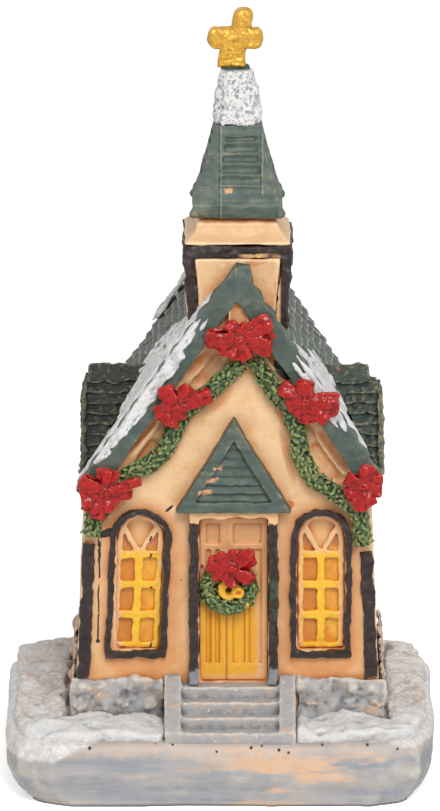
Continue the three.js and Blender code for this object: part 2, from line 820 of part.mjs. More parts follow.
function plinth(side) {
  const foot = side < 0 ? wallLeftX - wallFlare : wallRightX + wallFlare;
  const stepsEdge = stepsX + side * stairEdge;
  const outerX = foot + side * plinthThickness;
  const innerX = foot + side * fit;
  const faceY = frontY - plinthThickness;
  const endY = rearY + plinthThickness;
  const run = (x0, x1, y0, y1) => solid(block(
    Math.min(x0, x1), Math.max(x0, x1), y0, y1, slabHeight, plinthTopZ));
  // Each stone reaches from its proud face back to just short of the wall
  const depth = (stoneProud + plinthThickness - fit) / 2;
  const inward = depth - stoneProud;
  const acrossFront = (stone, long, high, along, z) => stone
    .scale(long, depth, high).translate(along, faceY + inward, z);
  const alongSide = (stone, long, high, along, z) => stone
    .scale(depth, long, high).translate(outerX - side * inward, along, z);
  const left = Math.min(outerX, stepsEdge);
  const right = Math.max(outerX, stepsEdge);
  const proud = [
    ...stones(left + depth, right - depth, frontStones, acrossFront),
    ...stones(faceY + depth, endY - depth, sideStones, alongSide),
  ];
  const walls = run(outerX, stepsEdge, faceY, frontY).add(run(outerX, innerX, faceY, endY));
  return proud.reduce((body, stone) => body.add(stone), walls);
}
place('stone_plinth_left', paint.stone, plinth(-1));
place('stone_plinth_right', paint.stone, plinth(1));

// Dark posts at the front corners, leaning with the walls
function cornerPost(side) {
  const top = side < 0 ? wallLeftX : wallRightX;
  const postTopZ = side < 0 ? postTopLeftZ : postTopRightZ;
  const lean = (z) => wallFlare * (wallStraightZ - z) / (wallStraightZ - slabHeight);
  const foot = plinthTopZ + fit;
  const outline = [
    [top + side * lean(foot), foot], [top + side * (lean(foot) - postWidth), foot],
    [top + side * (lean(postTopZ) - postWidth), postTopZ], [top + side * lean(postTopZ), postTopZ],
  ];
  return alongY(polygon(outline), frontY - postDepth, frontY);
}
place('corner_post_left', paint.dark, cornerPost(-1));
place('corner_post_right', paint.dark, cornerPost(1));

// Snow bank that wraps its half of the house
function snowBank(side) {
  const plinthX = (side < 0 ? wallLeftX : wallRightX) + side * (wallFlare + plinthThickness + fit);
  const houseFront = frontY - plinthThickness - fit;
  const houseRear = rearY + plinthThickness + fit;
  const stairX = stepsX + side * stairEdge;
  const inwardFrom = (x, y0, y1, z0) => solid(block(
    Math.min(x, -side * farOut), Math.max(x, -side * farOut), y0, y1, z0, farOut));
  const under = solid(block(-farOut, farOut, -farOut, farOut, 0, slabHeight));
  const outline = slabOutline(snowInset + slabEdgeRound, snowFrontInset);
  return solid(softSlab(outline, slabHeight - 2 * snowRound, slabHeight + snowDepth, snowRound))
    .subtract(inwardFrom(plinthX, houseFront, houseRear, 0))
    .subtract(inwardFrom(stairX, -farOut, houseRear, 0))
    .subtract(inwardFrom(0, -farOut, farOut, 0))
    .subtract(under);
}
place('snow_left', paint.snow, snowBank(-1));
place('snow_right', paint.snow, snowBank(1));

// Snow lying on a slope behind its bargeboard
function roofSnow(side) {
  const angle = naveAngle(side);
  const upper = (towerWidth / 2 + Math.abs(towerX - ridgeX) + 3 * fit) / Math.cos(angle) + roofSnowGap;
  const lower = naveLengthDown(side) - roofSnowEave;
  const valleyY = crossRidgeY - crossHalfSpan - fit;
  const backY = frontY + roofSnowReach;
  const shape = new THREE.Shape();
  shape.moveTo(upper, frontY + fit);
  shape.lineTo(lower, frontY + fit);
  shape.quadraticCurveTo(lower - roofSnowTaper / 6, valleyY, lower - roofSnowTaper, valleyY - 4 * fit);
  shape.quadraticCurveTo(upper + roofSnowWaist, valleyY, upper + roofSnowUpperSpan, backY - 1);
  shape.quadraticCurveTo(upper + roofSnowUpperSpan / 2, backY + 2, upper, backY);
  const sheet = softSlab(shape, 0, roofSnowThickness, roofSnowThickness / 3);
  const down = new THREE.Vector3(side * Math.cos(angle), 0, -Math.sin(angle));
  const out = new THREE.Vector3(side * Math.sin(angle), 0, Math.cos(angle));
  const back = new THREE.Vector3().crossVectors(out, down);
  const mirrored = side > 0;
  const turn = new THREE.Matrix4().makeBasis(down, back, out);
  if (!mirrored) {
    sheet.scale(1, -1, 1);
  }
  const [x, z] = navePoint(side, 0, roofThickness + fit);
  sheet.applyMatrix4(turn).translate(x, 0, z);
  return mirrored ? solid(sheet) : solid(flipped(sheet));
}

// Same skin with its faces turned round, after a mirror
function flipped(geometry) {
  const loose = geometry.index ? geometry.toNonIndexed() : geometry;
  const position = loose.attributes.position;
  for (let i = 0; i < position.count; i += 3) {
    const a = new THREE.Vector3().fromBufferAttribute(position, i);
    const b = new THREE.Vector3().fromBufferAttribute(position, i + 1);
    position.setXYZ(i, b.x, b.y, b.z);
    position.setXYZ(i + 1, a.x, a.y, a.z);
  }
  return loose;
}
place('roof_snow_left', paint.snow, roofSnow(-1));
place('roof_snow_right', paint.snow, roofSnow(1));

// Tower: walls, dark frame and flared neck
function towerBox() {
  const half = towerWidth / 2 - fit;
  const notch = towerPost + fit;
  const top = towerTopZ - bandHeight;
  let walls = solid(block(towerX - half, towerX + half, towerY - half, towerY + half, towerFootZ, top));
  for (const sx of [-1, 1]) {
    for (const sy of [-1, 1]) {
      const x = towerX + sx * towerWidth / 2;
      const y = towerY + sy * towerWidth / 2;
      const corner = block(x - notch, x + notch, y - notch, y + notch, towerFootZ - 1, top + 1);
      walls = walls.subtract(solid(corner));
    }
  }
  return walls.subtract(navePrism(roofThickness + fit));
}

function towerFrame() {
  const half = towerWidth / 2;
  const bandFoot = towerTopZ - bandHeight;
  let frame = solid(block(towerX - half, towerX + half, towerY - half, towerY + half, bandFoot, towerTopZ));
  for (const sx of [-1, 1]) {
    for (const sy of [-1, 1]) {
      const reach = towerPost / 2;
      const x = towerX + sx * (half - reach);
      const y = towerY + sy * (half - reach);
      const post = block(x - reach, x + reach, y - reach, y + reach, towerFootZ, towerTopZ);
      frame = frame.add(solid(post));
    }
  }
  return frame.subtract(navePrism(roofThickness + fit));
}

// Square ring at a height, for the tower's lofted parts
function square(z, width) {
  const half = width / 2;
  return [[-half, -half], [half, -half], [half, half], [-half, half]]
    .map(([x, y]) => new THREE.Vector3(towerX + x, towerY + y, z));
}

function towerNeck() {
  const steps = 5;
  const rings = Array.from({ length: steps + 1 }, (_, k) => {
    const rise = k / steps;
    const z = towerTopZ + (neckTopZ - towerTopZ) * rise * 0.8;
    return square(z, neckWidth + (towerWidth - neckWidth) * (1 - rise) ** 2);
  });
  rings.push(square(neckTopZ, neckWidth));
  return loft(rings);
}
place('tower_box', paint.peach, towerBox());
place('tower_frame', paint.dark, towerFrame());
place('tower_neck', paint.peach, towerNeck());

// Spire: flared lip, tapering body and a louvred panel on each face
function spire() {
  const lip = spireLipHeight / 4;
  let body = solid(loft([
    square(neckTopZ, spireFootWidth),
    square(neckTopZ + lip, spireLipWidth),
    square(neckTopZ + 3 * lip, spireLipWidth),
    square(spireLipZ, spireFootWidth),
    square(spireTopZ, spireTopWidth),
  ]));
  const lean = Math.atan2((spireFootWidth - spireTopWidth) / 2, spireTopZ - spireLipZ);
  const taper = (spireFootWidth - spireTopWidth) / (spireTopZ - spireLipZ);
  const faceAt = (z) => (spireFootWidth - taper * (z - spireLipZ)) / 2;
  const panelHeight = (louvreTopZ - louvreFootZ) / Math.cos(lean);
  const widthAt = (share) => louvreFootWidth + (louvreTopWidth - louvreFootWidth) * share;
  const panel = polygon([
    [-louvreFootWidth / 2, 0], [louvreFootWidth / 2, 0],
    [louvreTopWidth / 2, panelHeight], [-louvreTopWidth / 2, panelHeight],
  ]);
  const pitch = panelHeight / louvreCount;
  for (let face = 0; face < 4; face += 1) {
    const seat = new THREE.Matrix4()
      .makeTranslation(towerX, towerY, 0)
      .multiply(new THREE.Matrix4().makeRotationZ(face * Math.PI / 2))
      .multiply(new THREE.Matrix4().makeTranslation(louvreShift, -faceAt(louvreFootZ), louvreFootZ))
      .multiply(new THREE.Matrix4().makeRotationX(-lean));
    body = body.subtract(solid(alongY(panel, -2, louvreRecess).applyMatrix4(seat)));
    for (let k = 0; k < louvreCount; k += 1) {
      const width = widthAt((k + 0.5) / louvreCount) + 0.3;
      const slat = new THREE.BoxGeometry(width, louvreRecess * 1.5, louvreThickness);
      slat.rotateX(Math.PI / 6).translate(0, louvreRecess * 0.7, (k + 0.5) * pitch);
      body = body.add(solid(slat.applyMatrix4(seat)));
    }
  }
  for (const [sx, sy] of [[-1, -1], [1, -1], [1, 1], [-1, 1]]) {
    const nub = new THREE.SphereGeometry(cornerNub, 8, 5);
    const reach = spireLipWidth / 2 - cornerNub / 3;
    nub.translate(towerX + sx * reach, towerY + sy * reach, neckTopZ + cornerNub);
    body = body.add(solid(nub));
  }
  return body;
}
place('spire', paint.green, spire());

// Cap of snow on the spire: a rounded square that bulges and narrows
function spireSnow() {
  const rings = [];
  const steps = 7;
  const up = new THREE.Vector3(0, 1, 0);
  const across = new THREE.Vector3(1, 0, 0);
  for (let k = 0; k <= steps; k += 1) {
    const rise = k / steps;
    const z = spireTopZ + (capTopZ - spireTopZ) * rise;
    const width = capFootWidth + (capTopWidth - capFootWidth) * rise;
    const centre = new THREE.Vector3(towerX, towerY, z);
    const edge = k === 0 || k === steps ? 0.92 : 1;
    rings.push(ring(centre, across, up, 12, (angle) => {
      const squareness = 1 / Math.max(Math.abs(Math.cos(angle)), Math.abs(Math.sin(angle)));
      return edge * width / 2 * Math.min(squareness, 1.18) * (1 + 0.03 * Math.sin(3 * angle + 2.4 * k));
    }));
  }
  return loft(rings);
}
place('spire_snow', paint.snow, spireSnow());

// Gold cross: stubby arms with soft ends, the head a little to the right of the stem
function goldCross() {
  const tip = crossArmSpan / 2;
  const stemLeft = crossStemShift - crossStemWidth / 2;
  const stemRight = crossStemShift + crossStemWidth / 2;
  const headLeft = crossHeadShift - crossHeadWidth / 2;
  const headRight = crossHeadShift + crossHeadWidth / 2;
  const armTop = crossArmFoot + crossArmHeight;
  const armMiddle = (crossArmFoot + armTop) / 2;
  const shape = new THREE.Shape();
  shape.moveTo(stemLeft, 0);
  shape.lineTo(stemRight, 0);
  shape.lineTo(stemRight - 0.3, crossArmFoot);
  shape.lineTo(tip - crossArmTip, crossArmFoot);
  shape.quadraticCurveTo(tip, crossArmFoot, tip, armMiddle);
  shape.quadraticCurveTo(tip, armTop, tip - crossArmTip, armTop);
  shape.lineTo(headRight, armTop);
  shape.lineTo(headRight, crossHeight - crossRound * 2);
  shape.quadraticCurveTo(headRight, crossHeight, crossHeadShift, crossHeight);
  shape.quadraticCurveTo(headLeft, crossHeight, headLeft, crossHeight - crossRound * 2);
  shape.lineTo(headLeft, armTop);
  shape.lineTo(-tip + crossArmTip, armTop);
  shape.quadraticCurveTo(-tip, armTop, -tip, armMiddle);
  shape.quadraticCurveTo(-tip, crossArmFoot, -tip + crossArmTip, crossArmFoot);
  shape.lineTo(stemLeft + 0.3, crossArmFoot);
  const soft = {
    bevelEnabled: true,
    bevelThickness: crossRound,
    bevelSize: crossRound,
    bevelOffset: -crossRound,
    bevelSegments: 2,
    curveSegments: 4,
  };
  const geometry = alongY(shape, -crossThick / 2 + crossRound, crossThick / 2 - crossRound, soft);
  return geometry.translate(towerX, towerY, capTopZ);
}
place('cross', paint.gold, goldCross());

// Evergreen rope along a curve: lobed, and thicker in tufts
function evergreen(curve, radius, steps, closed) {
  const back = new THREE.Vector3(0, 1, 0);
  const rings = [];
  for (let k = 0; k <= (closed ? steps - 1 : steps); k += 1) {
    const share = k / steps;
    const centre = curve.getPointAt(share);
    const along = curve.getTangentAt(share);
    const across = new THREE.Vector3().crossVectors(along, back).normalize();
    const tuft = 0.86 + 0.14 * (k % 2);
    const taper = closed ? 1 : Math.min(1, 0.45 + 3.5 * share, 0.45 + 6 * (1 - share));
    rings.push(ring(centre, back, across, 8, (angle) => (
      radius * tuft * taper * (0.93 + 0.07 * Math.cos(4 * angle)))));
  }
  return rings;
}

// Garland on the gable, hollowed at the back where it crosses the moulding
function garland(route) {
  const y = frontY - garlandRadius - fit / 2;
  const curve = new THREE.CatmullRomCurve3(route.map(([x, z]) => new THREE.Vector3(x, y, z)));
  return solid(loft(evergreen(curve, garlandRadius, 30, false)))
    .subtract(solid(moulding(-1, fit)))
    .subtract(solid(moulding(1, fit)));
}
place('garland_left', paint.fir, garland(garlandRouteLeft));
place('garland_right', paint.fir, garland(garlandRouteRight));

// Wreath on the door
function wreath() {
  const count = 20;
  const leafFace = innerFrontY - fit - leafThickness;
  const y = leafFace - fit - wreathTube;
  const torus = new THREE.TorusGeometry(wreathRadius, wreathTube, 8, count);
  const position = torus.attributes.position;
  const point = new THREE.Vector3();
  for (let i = 0; i < position.count; i += 1) {
    point.fromBufferAttribute(position, i);
    const angle = Math.atan2(point.y, point.x);
    const core = new THREE.Vector3(Math.cos(angle), Math.sin(angle), 0).multiplyScalar(wreathRadius);
    const tuft = 0.93 + 0.07 * Math.cos(count / 2 * angle);
    point.sub(core).multiplyScalar(tuft).add(core);
    position.setXYZ(i, point.x, point.y, point.z);
  }
  return torus.rotateX(Math.PI / 2).translate(wreathX, y, wreathZ);
}
place('wreath', paint.fir, solid(wreath()));

// Bow: two puffed loops, a knot and two tails, with its back at y = 0
function bow() {
  const loopLength = bowWidth / 2;
  const halfDepth = bowDepth / 2;
  const loopSection = (share) => 0.32 + 0.68 * Math.sin(Math.PI / 2 * Math.min(1, share ** 0.7) + 0.3 * share);
  const knot = new THREE.SphereGeometry(1, 8, 5);
  knot.scale(bowWidth * 0.13, halfDepth, bowHeight * 0.17).translate(0, -halfDepth, bowHeight * 0.12);
  let whole = solid(knot);
  for (const side of [-1, 1]) {
    const rings = [];
    const up = new THREE.Vector3(0, 0, 1);
    const outward = new THREE.Vector3(0, side, 0);
    const steps = 5;
    for (let k = 0; k <= steps; k += 1) {
      const share = k / steps;
      const end = k === steps ? 0.5 : 1;
      const height = bowHeight * 0.31 * loopSection(share) * end;
      const depth = halfDepth * (0.55 + 0.4 * Math.sin(Math.PI * share)) * end;
      const rise = bowHeight * (0.16 + 0.04 * share);
      const centre = new THREE.Vector3(side * loopLength * share, -halfDepth, rise);
      const section = ring(centre, outward, up, 10, () => 1).map((point) => {
        const y = (point.y - centre.y) * depth;
        const z = (point.z - centre.z) * height;
        return new THREE.Vector3(centre.x, centre.y + y, centre.z + z);
      });
      rings.push(section);
    }
    whole = whole.add(solid(loft(rings)));
    const tailShape = polygon([
      [side * 0.1, bowHeight * 0.14], [side * bowWidth * 0.13, bowHeight * 0.1],
      [side * bowWidth * 0.3, -bowHeight * 0.3], [side * bowWidth * 0.22, -bowHeight * 0.38],
      [side * bowWidth * 0.12, -bowHeight * 0.5],
    ]);
    whole = whole.add(solid(alongY(tailShape, -bowDepth * 0.72, -bowDepth * 0.08)));
  }
  return whole;
}
const bowGeometry = geometryOf(bow());
const bowBackY = Math.min(boardFrontY, frontY - 2 * garlandRadius) - 2 * fit;
const bows = { bow_top: bowTop, bow_upper_left: bowUpperLeft, bow_upper_right: bowUpperRight,
  bow_lower_left: bowLowerLeft, bow_lower_right: bowLowerRight };
for (const [name, spot] of Object.entries(bows)) {
  const shape = bowGeometry.clone().scale(spot.spread, 1, 1);
  place(name, paint.red, shape).position.set(spot.x, bowBackY, spot.z);
}
const smallBow = bowGeometry.clone().scale(wreathBowScale, wreathBowScale, wreathBowScale);
const wreathFrontY = innerFrontY - 2 * fit - leafThickness - 2 * wreathTube;
place('wreath_bow', paint.red, smallBow).position.set(wreathBowX, wreathFrontY - fit, wreathBowZ);

// Light unit in its own group
const unit = new THREE.Group();
unit.position.set(unitX, unitY, 0);
church.add(unit);

function fitUnit(name, finish, shape) {
  const mesh = place(name, finish, shape);
  unit.add(mesh);
  return mesh;
}

// Upright cylinder between two heights
function rod(x, y, radius, z0, z1, sides = 16) {
  const geometry = new THREE.CylinderGeometry(radius, radius, z1 - z0, sides);
  return geometry.rotateX(Math.PI / 2).translate(x, y, (z0 + z1) / 2);
}

const switchX = (wellLeft + wellRight) / 2;
const tongueSlotRight = coverRight + tongueLength + coverGap;
const lipLeft = coverRight + tongueLength * 0.45;
const plateSlotHalf = 1.9;

function holder() {
  const box = block(boxLeft, boxRight, -boxHalf, boxHalf, flangeFaceZ, holderTopZ);
  const flange = block(
    boxLeft - flangeMargin, boxRight + flangeMargin,
    -boxHalf - flangeSide, boxHalf + flangeSide, flangeFaceZ, flangeTopZ);
  const bay = block(bayLeft, bayRight, -bayHalfWidth, bayHalfWidth, 0, bayRoofZ);
  const rebate = block(
    coverLeft - coverGap, coverRight + coverGap, -coverHalf - coverGap, coverHalf + coverGap, 0, rebateTopZ);
  const lipTopZ = flangeFaceZ + lipHeight;
  const slotTop = switchFloorZ - 2 * coverGap;
  const tongueHalf = tongueWidth / 2 + coverGap;
  const tongueSlot = block(coverRight, tongueSlotRight, -tongueHalf, tongueHalf, lipTopZ, slotTop);
  const lipGap = block(coverRight, lipLeft, -tongueHalf, tongueHalf, 0, lipTopZ + fit);
  const screwHole = rod(screwX, 0, screwRadius + screwPlay, 0, flangeFaceZ + screwLength + screwHeadHeight + 1);
  const wellHalf = switchLength / 2 + coverGap;
  const well = block(wellLeft, wellRight, -wellHalf, wellHalf, switchFloorZ, holderTopZ + 1);
  const knobHalf = (knobLength + knobTravel) / 2 + coverGap;
  const knobSide = knobWidth / 2 + coverGap;
  const knobSlot = block(switchX - knobSide, switchX + knobSide, -knobHalf, knobHalf, 0, switchFloorZ + 1);
  const slotWidth = contactThickness + 2 * coverGap;
  const plateSlots = [bayLeft, bayRight - slotWidth].map((x) => block(
    x, x + slotWidth, -plateSlotHalf, plateSlotHalf, bayRoofZ - 1, holderTopZ + 1));
  const collar = rod(0, 0, ledFlangeRadius + 0.9, holderTopZ - 0.2, holderTopZ + collarHeight, 20);
  const bore = rod(0, 0, ledRadius + 0.1, holderTopZ, holderTopZ + collarHeight + 1, 20);
  const wayReach = ledFlangeRadius + 2;
  const leadWay = block(-wayReach, wayReach, -0.7, 0.7, holderTopZ, holderTopZ + collarHeight * 0.7);
  const cuts = [
    bay, rebate, tongueSlot, lipGap, screwHole, well, knobSlot, ...plateSlots, bore, leadWay,
  ];
  const body = solid(box).add(solid(flange)).add(solid(collar));
  return cuts.reduce((rest, cut) => rest.subtract(solid(cut)), body);
}
fitUnit('battery_holder', paint.white, holder());

// Cover: plate, tongue at the right, countersunk seat for the screw at the left
function cover() {
  const plate = block(coverLeft, coverRight, -coverHalf, coverHalf, flangeFaceZ, coverTopZ);
  const tongueFoot = flangeFaceZ + lipHeight + fit;
  const tongue = block(
    coverRight - 1, coverRight + tongueLength, -tongueWidth / 2, tongueWidth / 2,
    tongueFoot, tongueFoot + tongueThickness - fit);
  const seat = rod(screwX, 0, screwHeadRadius + screwPlay / 2, 0, flangeFaceZ + screwHeadHeight + fit);
  const hole = rod(screwX, 0, screwRadius + screwPlay / 2, 0, coverTopZ + 1);
  const grip = block(-5, 5, -0.4, 0.4, 0, flangeFaceZ + 0.3);
  let body = solid(plate).add(solid(tongue)).subtract(solid(seat)).subtract(solid(hole));
  for (const y of [-2, 0, 2]) {
    body = body.subtract(solid(grip.clone().translate(0, y, 0)));
  }
  return body;
}
fitUnit('battery_cover', paint.white, cover());

// Screw with a slotted head, head down
function screw() {
  const head = rod(0, 0, screwHeadRadius, flangeFaceZ, flangeFaceZ + screwHeadHeight);
  const neckZ = flangeFaceZ + screwHeadHeight;
  const shank = rod(0, 0, screwRadius, neckZ - 0.2, neckZ + screwLength);
  const slot = block(-screwHeadRadius - 1, screwHeadRadius + 1, -0.22, 0.22, 0, flangeFaceZ + 0.3);
  return solid(head).add(solid(shank)).subtract(solid(slot));
}
fitUnit('cover_screw', paint.steel, screw()).position.set(screwX, 0, 0);

// Button cells, cap towards the spring
function cell() {
  const edge = 0.25;
  const step = cellLength * 0.09;
  const profile = [
    [0, 0], [cellRadius - edge, 0], [cellRadius, edge],
    [cellRadius, cellLength - step - edge], [cellRadius - edge, cellLength - step],
    [cellCapRadius, cellLength - step], [cellCapRadius - edge, cellLength], [0, cellLength],
  ].map(([r, h]) => new THREE.Vector2(r, h));
  return new THREE.LatheGeometry(profile, 16);
}
const cellGeometry = geometryOf(solid(cell()));
const cellEnd = bayRight - contactThickness - fit - 2 * cellPlay / 3;
for (let k = 0; k < cellCount; k += 1) {
  const button = fitUnit(`button_cell_${k + 1}`, paint.steel, cellGeometry.clone());
  button.rotation.z = Math.PI / 2;
  button.position.set(cellEnd - cellLength * k, 0, cellAxisZ);
}

// Positive contact: a strip that bridges from the bay to the switch
function plateContact() {
  const half = plateSlotHalf - coverGap;
  const inside = bayRight - contactThickness - fit;
  const down = switchX - 1;
  const over = holderTopZ + fit;
  const bayLeg = block(inside, inside + contactThickness, -half, half, cellAxisZ - 3, over + contactThickness);
  const bridge = block(inside, down, -half, half, over, over + contactThickness);
  const legFoot = switchFloorZ + switchHeight + 2;
  const wellLeg = block(down - contactThickness, down, -half, half, legFoot, over + contactThickness);
  return solid(bayLeg).add(solid(bridge)).add(solid(wellLeg));
}
fitUnit('plate_contact', paint.steel, plateContact());

// Negative contact: a plate with a solder tab and a conical spring
function springContact() {
  const half = plateSlotHalf - coverGap;
  const x = bayLeft + fit;
  const strip = block(x, x + contactThickness, -half, half, cellAxisZ - 3, holderTopZ + 1.5);
  const steps = springTurns * 8;
  const wire = springWire / 2;
  const reach = cellEnd - cellCount * cellLength - x - contactThickness - wire - fit;
  const rings = [];
  for (let k = 0; k <= steps; k += 1) {
    const share = k / steps;
    const angle = 2 * Math.PI * springTurns * share;
    const radius = 3.2 - 1.7 * share;
    const out = new THREE.Vector3(0, Math.cos(angle), Math.sin(angle));
    const centre = out.clone().multiplyScalar(radius);
    centre.x = x + contactThickness + wire * 0.4 + (reach - wire * 0.4) * share;
    centre.z += cellAxisZ;
    rings.push(ring(centre, out, new THREE.Vector3(1, 0, 0), 5, () => wire));
  }
  return solid(strip).add(solid(loft(rings.reverse())));
}
fitUnit('spring_contact', paint.steel, springContact());

// Slide switch: cased body with three pins, and the knob in its slot
function switchBody() {
  const floor = switchFloorZ + fit / 2;
  const half = switchLength / 2;
  const knobHalf = (knobLength + knobTravel) / 2 + coverGap;
  const knobSide = knobWidth / 2 + coverGap;
  const top = floor + switchHeight;
  const body = block(switchX - switchWidth / 2, switchX + switchWidth / 2, -half, half, floor, top);
  const slot = block(
    switchX - knobSide, switchX + knobSide, -knobHalf, knobHalf, 0, floor + switchHeight / 3);
  let whole = solid(body).subtract(solid(slot));
  for (const y of [-2.5, 0, 2.5]) {
    const pin = block(switchX - 0.25, switchX + 0.25, y - 0.4, y + 0.4, top - 0.2, top + pinHeight);
    whole = whole.add(solid(pin));
  }
  return whole;
}
fitUnit('switch_body', paint.steel, switchBody());

// The knob rests at the front end of its travel
function knob() {
  const top = switchFloorZ + switchHeight / 3 - coverGap;
  const y0 = -(knobLength + knobTravel) / 2;
  const half = knobWidth / 2;
  return block(switchX - half, switchX + half, y0, y0 + knobLength, flangeFaceZ + coverGap, top);
}
fitUnit('switch_knob', paint.black, knob());

// Lamp: dome, flange and two bent leads
function lamp() {
  const foot = holderTopZ + collarHeight + fit;
  const domeFoot = ledHeight - ledRadius;
  const dome = [[0, 0], [ledFlangeRadius, 0], [ledFlangeRadius, 0.9], [ledRadius, 0.9], [ledRadius, domeFoot]];
  const arcSteps = 4;
  for (let k = 1; k < arcSteps; k += 1) {
    const angle = Math.PI / 2 * k / arcSteps;
    dome.push([ledRadius * Math.cos(angle), domeFoot + ledRadius * Math.sin(angle)]);
  }
  dome.push([0, ledHeight]);
  const profile = dome.map(([r, h]) => new THREE.Vector2(r, h));
  const lens = new THREE.LatheGeometry(profile, 14).rotateX(Math.PI / 2).translate(0, 0, foot);
  let whole = solid(lens);
  for (const side of [-1, 1]) {
    const x0 = side * 0.65;
    const low = holderTopZ + 0.3;
    const reach = side * (ledFlangeRadius + 1.4);
    const drop = block(x0 - 0.22, x0 + 0.22, -0.22, 0.22, low, foot + 0.3);
    const arm = block(Math.min(x0, reach), Math.max(x0, reach), -0.22, 0.22, low, low + 0.44);
    whole = whole.add(solid(drop)).add(solid(arm));
  }
  return whole;
}
fitUnit('led', paint.lens, lamp());

// Insulated lead along a smooth route
function lead(points) {
  const curve = new THREE.CatmullRomCurve3(points.map(([x, y, z]) => new THREE.Vector3(x, y, z)));
  const section = new THREE.Shape();
  section.absarc(0, 0, wireRadius, 0, 2 * Math.PI, false);
  return new THREE.ExtrudeGeometry(section, {
    steps: 16, bevelEnabled: false, extrudePath: curve, curveSegments: 4,
  });
}
const leadZ = holderTopZ + wireRadius + fit;
const leadEnd = ledFlangeRadius + 1.4 + fit;
const wellTop = switchFloorZ + switchHeight + pinHeight;
fitUnit('wire_red', paint.leadRed, solid(lead([
  [switchX, 2.5, wellTop + 0.4], [switchX, 2.6, wellTop + 2], [switchX - 0.2, 2.9, holderTopZ - 0.4],
  [switchX - 1.6, 3.2, leadZ + 0.9], [wellLeft - 2.4, 3, leadZ], [6.2, 1.2, leadZ], [leadEnd + 1, 0, leadZ],
  [leadEnd, 0, leadZ],
])));
fitUnit('wire_black', paint.black, solid(lead([
  [bayLeft - wireRadius - fit, 0, holderTopZ + 1.1], [bayLeft - 1.4, 1.2, leadZ + 0.2], [bayLeft, 3.2, leadZ],
  [-6.4, 1.6, leadZ], [-leadEnd - 1, 0, leadZ], [-leadEnd, 0, leadZ],
])));

export default church;
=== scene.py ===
import math
import random

import bpy
from mathutils import Matrix, Vector


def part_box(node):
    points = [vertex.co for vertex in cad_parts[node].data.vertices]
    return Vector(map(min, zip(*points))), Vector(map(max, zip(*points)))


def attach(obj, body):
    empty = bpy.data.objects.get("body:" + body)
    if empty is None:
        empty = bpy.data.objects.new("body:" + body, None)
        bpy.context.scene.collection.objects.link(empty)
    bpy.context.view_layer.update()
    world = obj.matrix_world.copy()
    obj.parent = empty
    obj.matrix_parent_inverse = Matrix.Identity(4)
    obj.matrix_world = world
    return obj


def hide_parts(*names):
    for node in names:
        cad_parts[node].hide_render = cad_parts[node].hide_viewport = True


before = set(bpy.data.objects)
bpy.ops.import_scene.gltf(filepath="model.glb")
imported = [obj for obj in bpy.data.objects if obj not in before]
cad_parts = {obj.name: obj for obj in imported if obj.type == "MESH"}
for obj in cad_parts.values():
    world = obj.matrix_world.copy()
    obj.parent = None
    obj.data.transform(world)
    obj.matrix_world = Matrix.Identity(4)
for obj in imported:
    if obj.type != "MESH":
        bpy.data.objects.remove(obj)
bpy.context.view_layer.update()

# A hand-painted resin church on a snowy slab, lit by a small battery unit in its underside.
# Lengths are written in millimetres and turned to metres with mm, and colours in steps of 255.
mm = 0.001
scene = bpy.context.scene
scene.view_settings.view_transform = "Standard"

# Camera: straight from the front and 15 degrees above the level, with a long lens.
elevation = math.radians(15)
distance = 1.6
aim = Vector((0, 0, 51.1 * mm))
half_view = 56.5 * mm
camera_data = bpy.data.cameras.new("camera")
camera_data.sensor_fit = "VERTICAL"
camera_data.sensor_height = 24
camera_data.lens = camera_data.sensor_height / 2 * distance / half_view
camera_data.clip_start = 0.01
camera = bpy.data.objects.new("camera", camera_data)
camera.location = aim + Vector((0, -math.cos(elevation), math.sin(elevation))) * distance
camera.rotation_euler = (math.pi / 2 - elevation, 0, 0)
scene.collection.objects.link(camera)
scene.camera = camera

# Studio: an even white surround that the camera sees as pure white, and one large soft lamp
# above and a little right of the camera, which shapes the relief.
world = bpy.data.worlds.new("studio")
scene.world = world
world.use_nodes = True
surround = world.node_tree.nodes["Background"]
path = world.node_tree.nodes.new("ShaderNodeLightPath")
seen = world.node_tree.nodes.new("ShaderNodeMath")
seen.operation = "MAXIMUM"
world.node_tree.links.new(path.outputs["Is Camera Ray"], seen.inputs[0])
world.node_tree.links.new(path.outputs["Is Glossy Ray"], seen.inputs[1])
level = world.node_tree.nodes.new("ShaderNodeMapRange")
level.inputs["To Min"].default_value = 0.5
level.inputs["To Max"].default_value = 1.0
world.node_tree.links.new(seen.outputs[0], level.inputs["Value"])
surround.inputs["Color"].default_value = (1, 1, 1, 1)
world.node_tree.links.new(level.outputs["Result"], surround.inputs["Strength"])

key_data = bpy.data.lights.new("key", "AREA")
key_data.shape = "DISK"
key_data.size = 0.34
key_data.energy = 3.2
key = bpy.data.objects.new("key", key_data)
key.location = (0.1, -0.54, 0.5)
key.rotation_euler = (Vector((0, 0, 0.05)) - key.location).to_track_quat("-Z", "Y").to_euler()
scene.collection.objects.link(key)


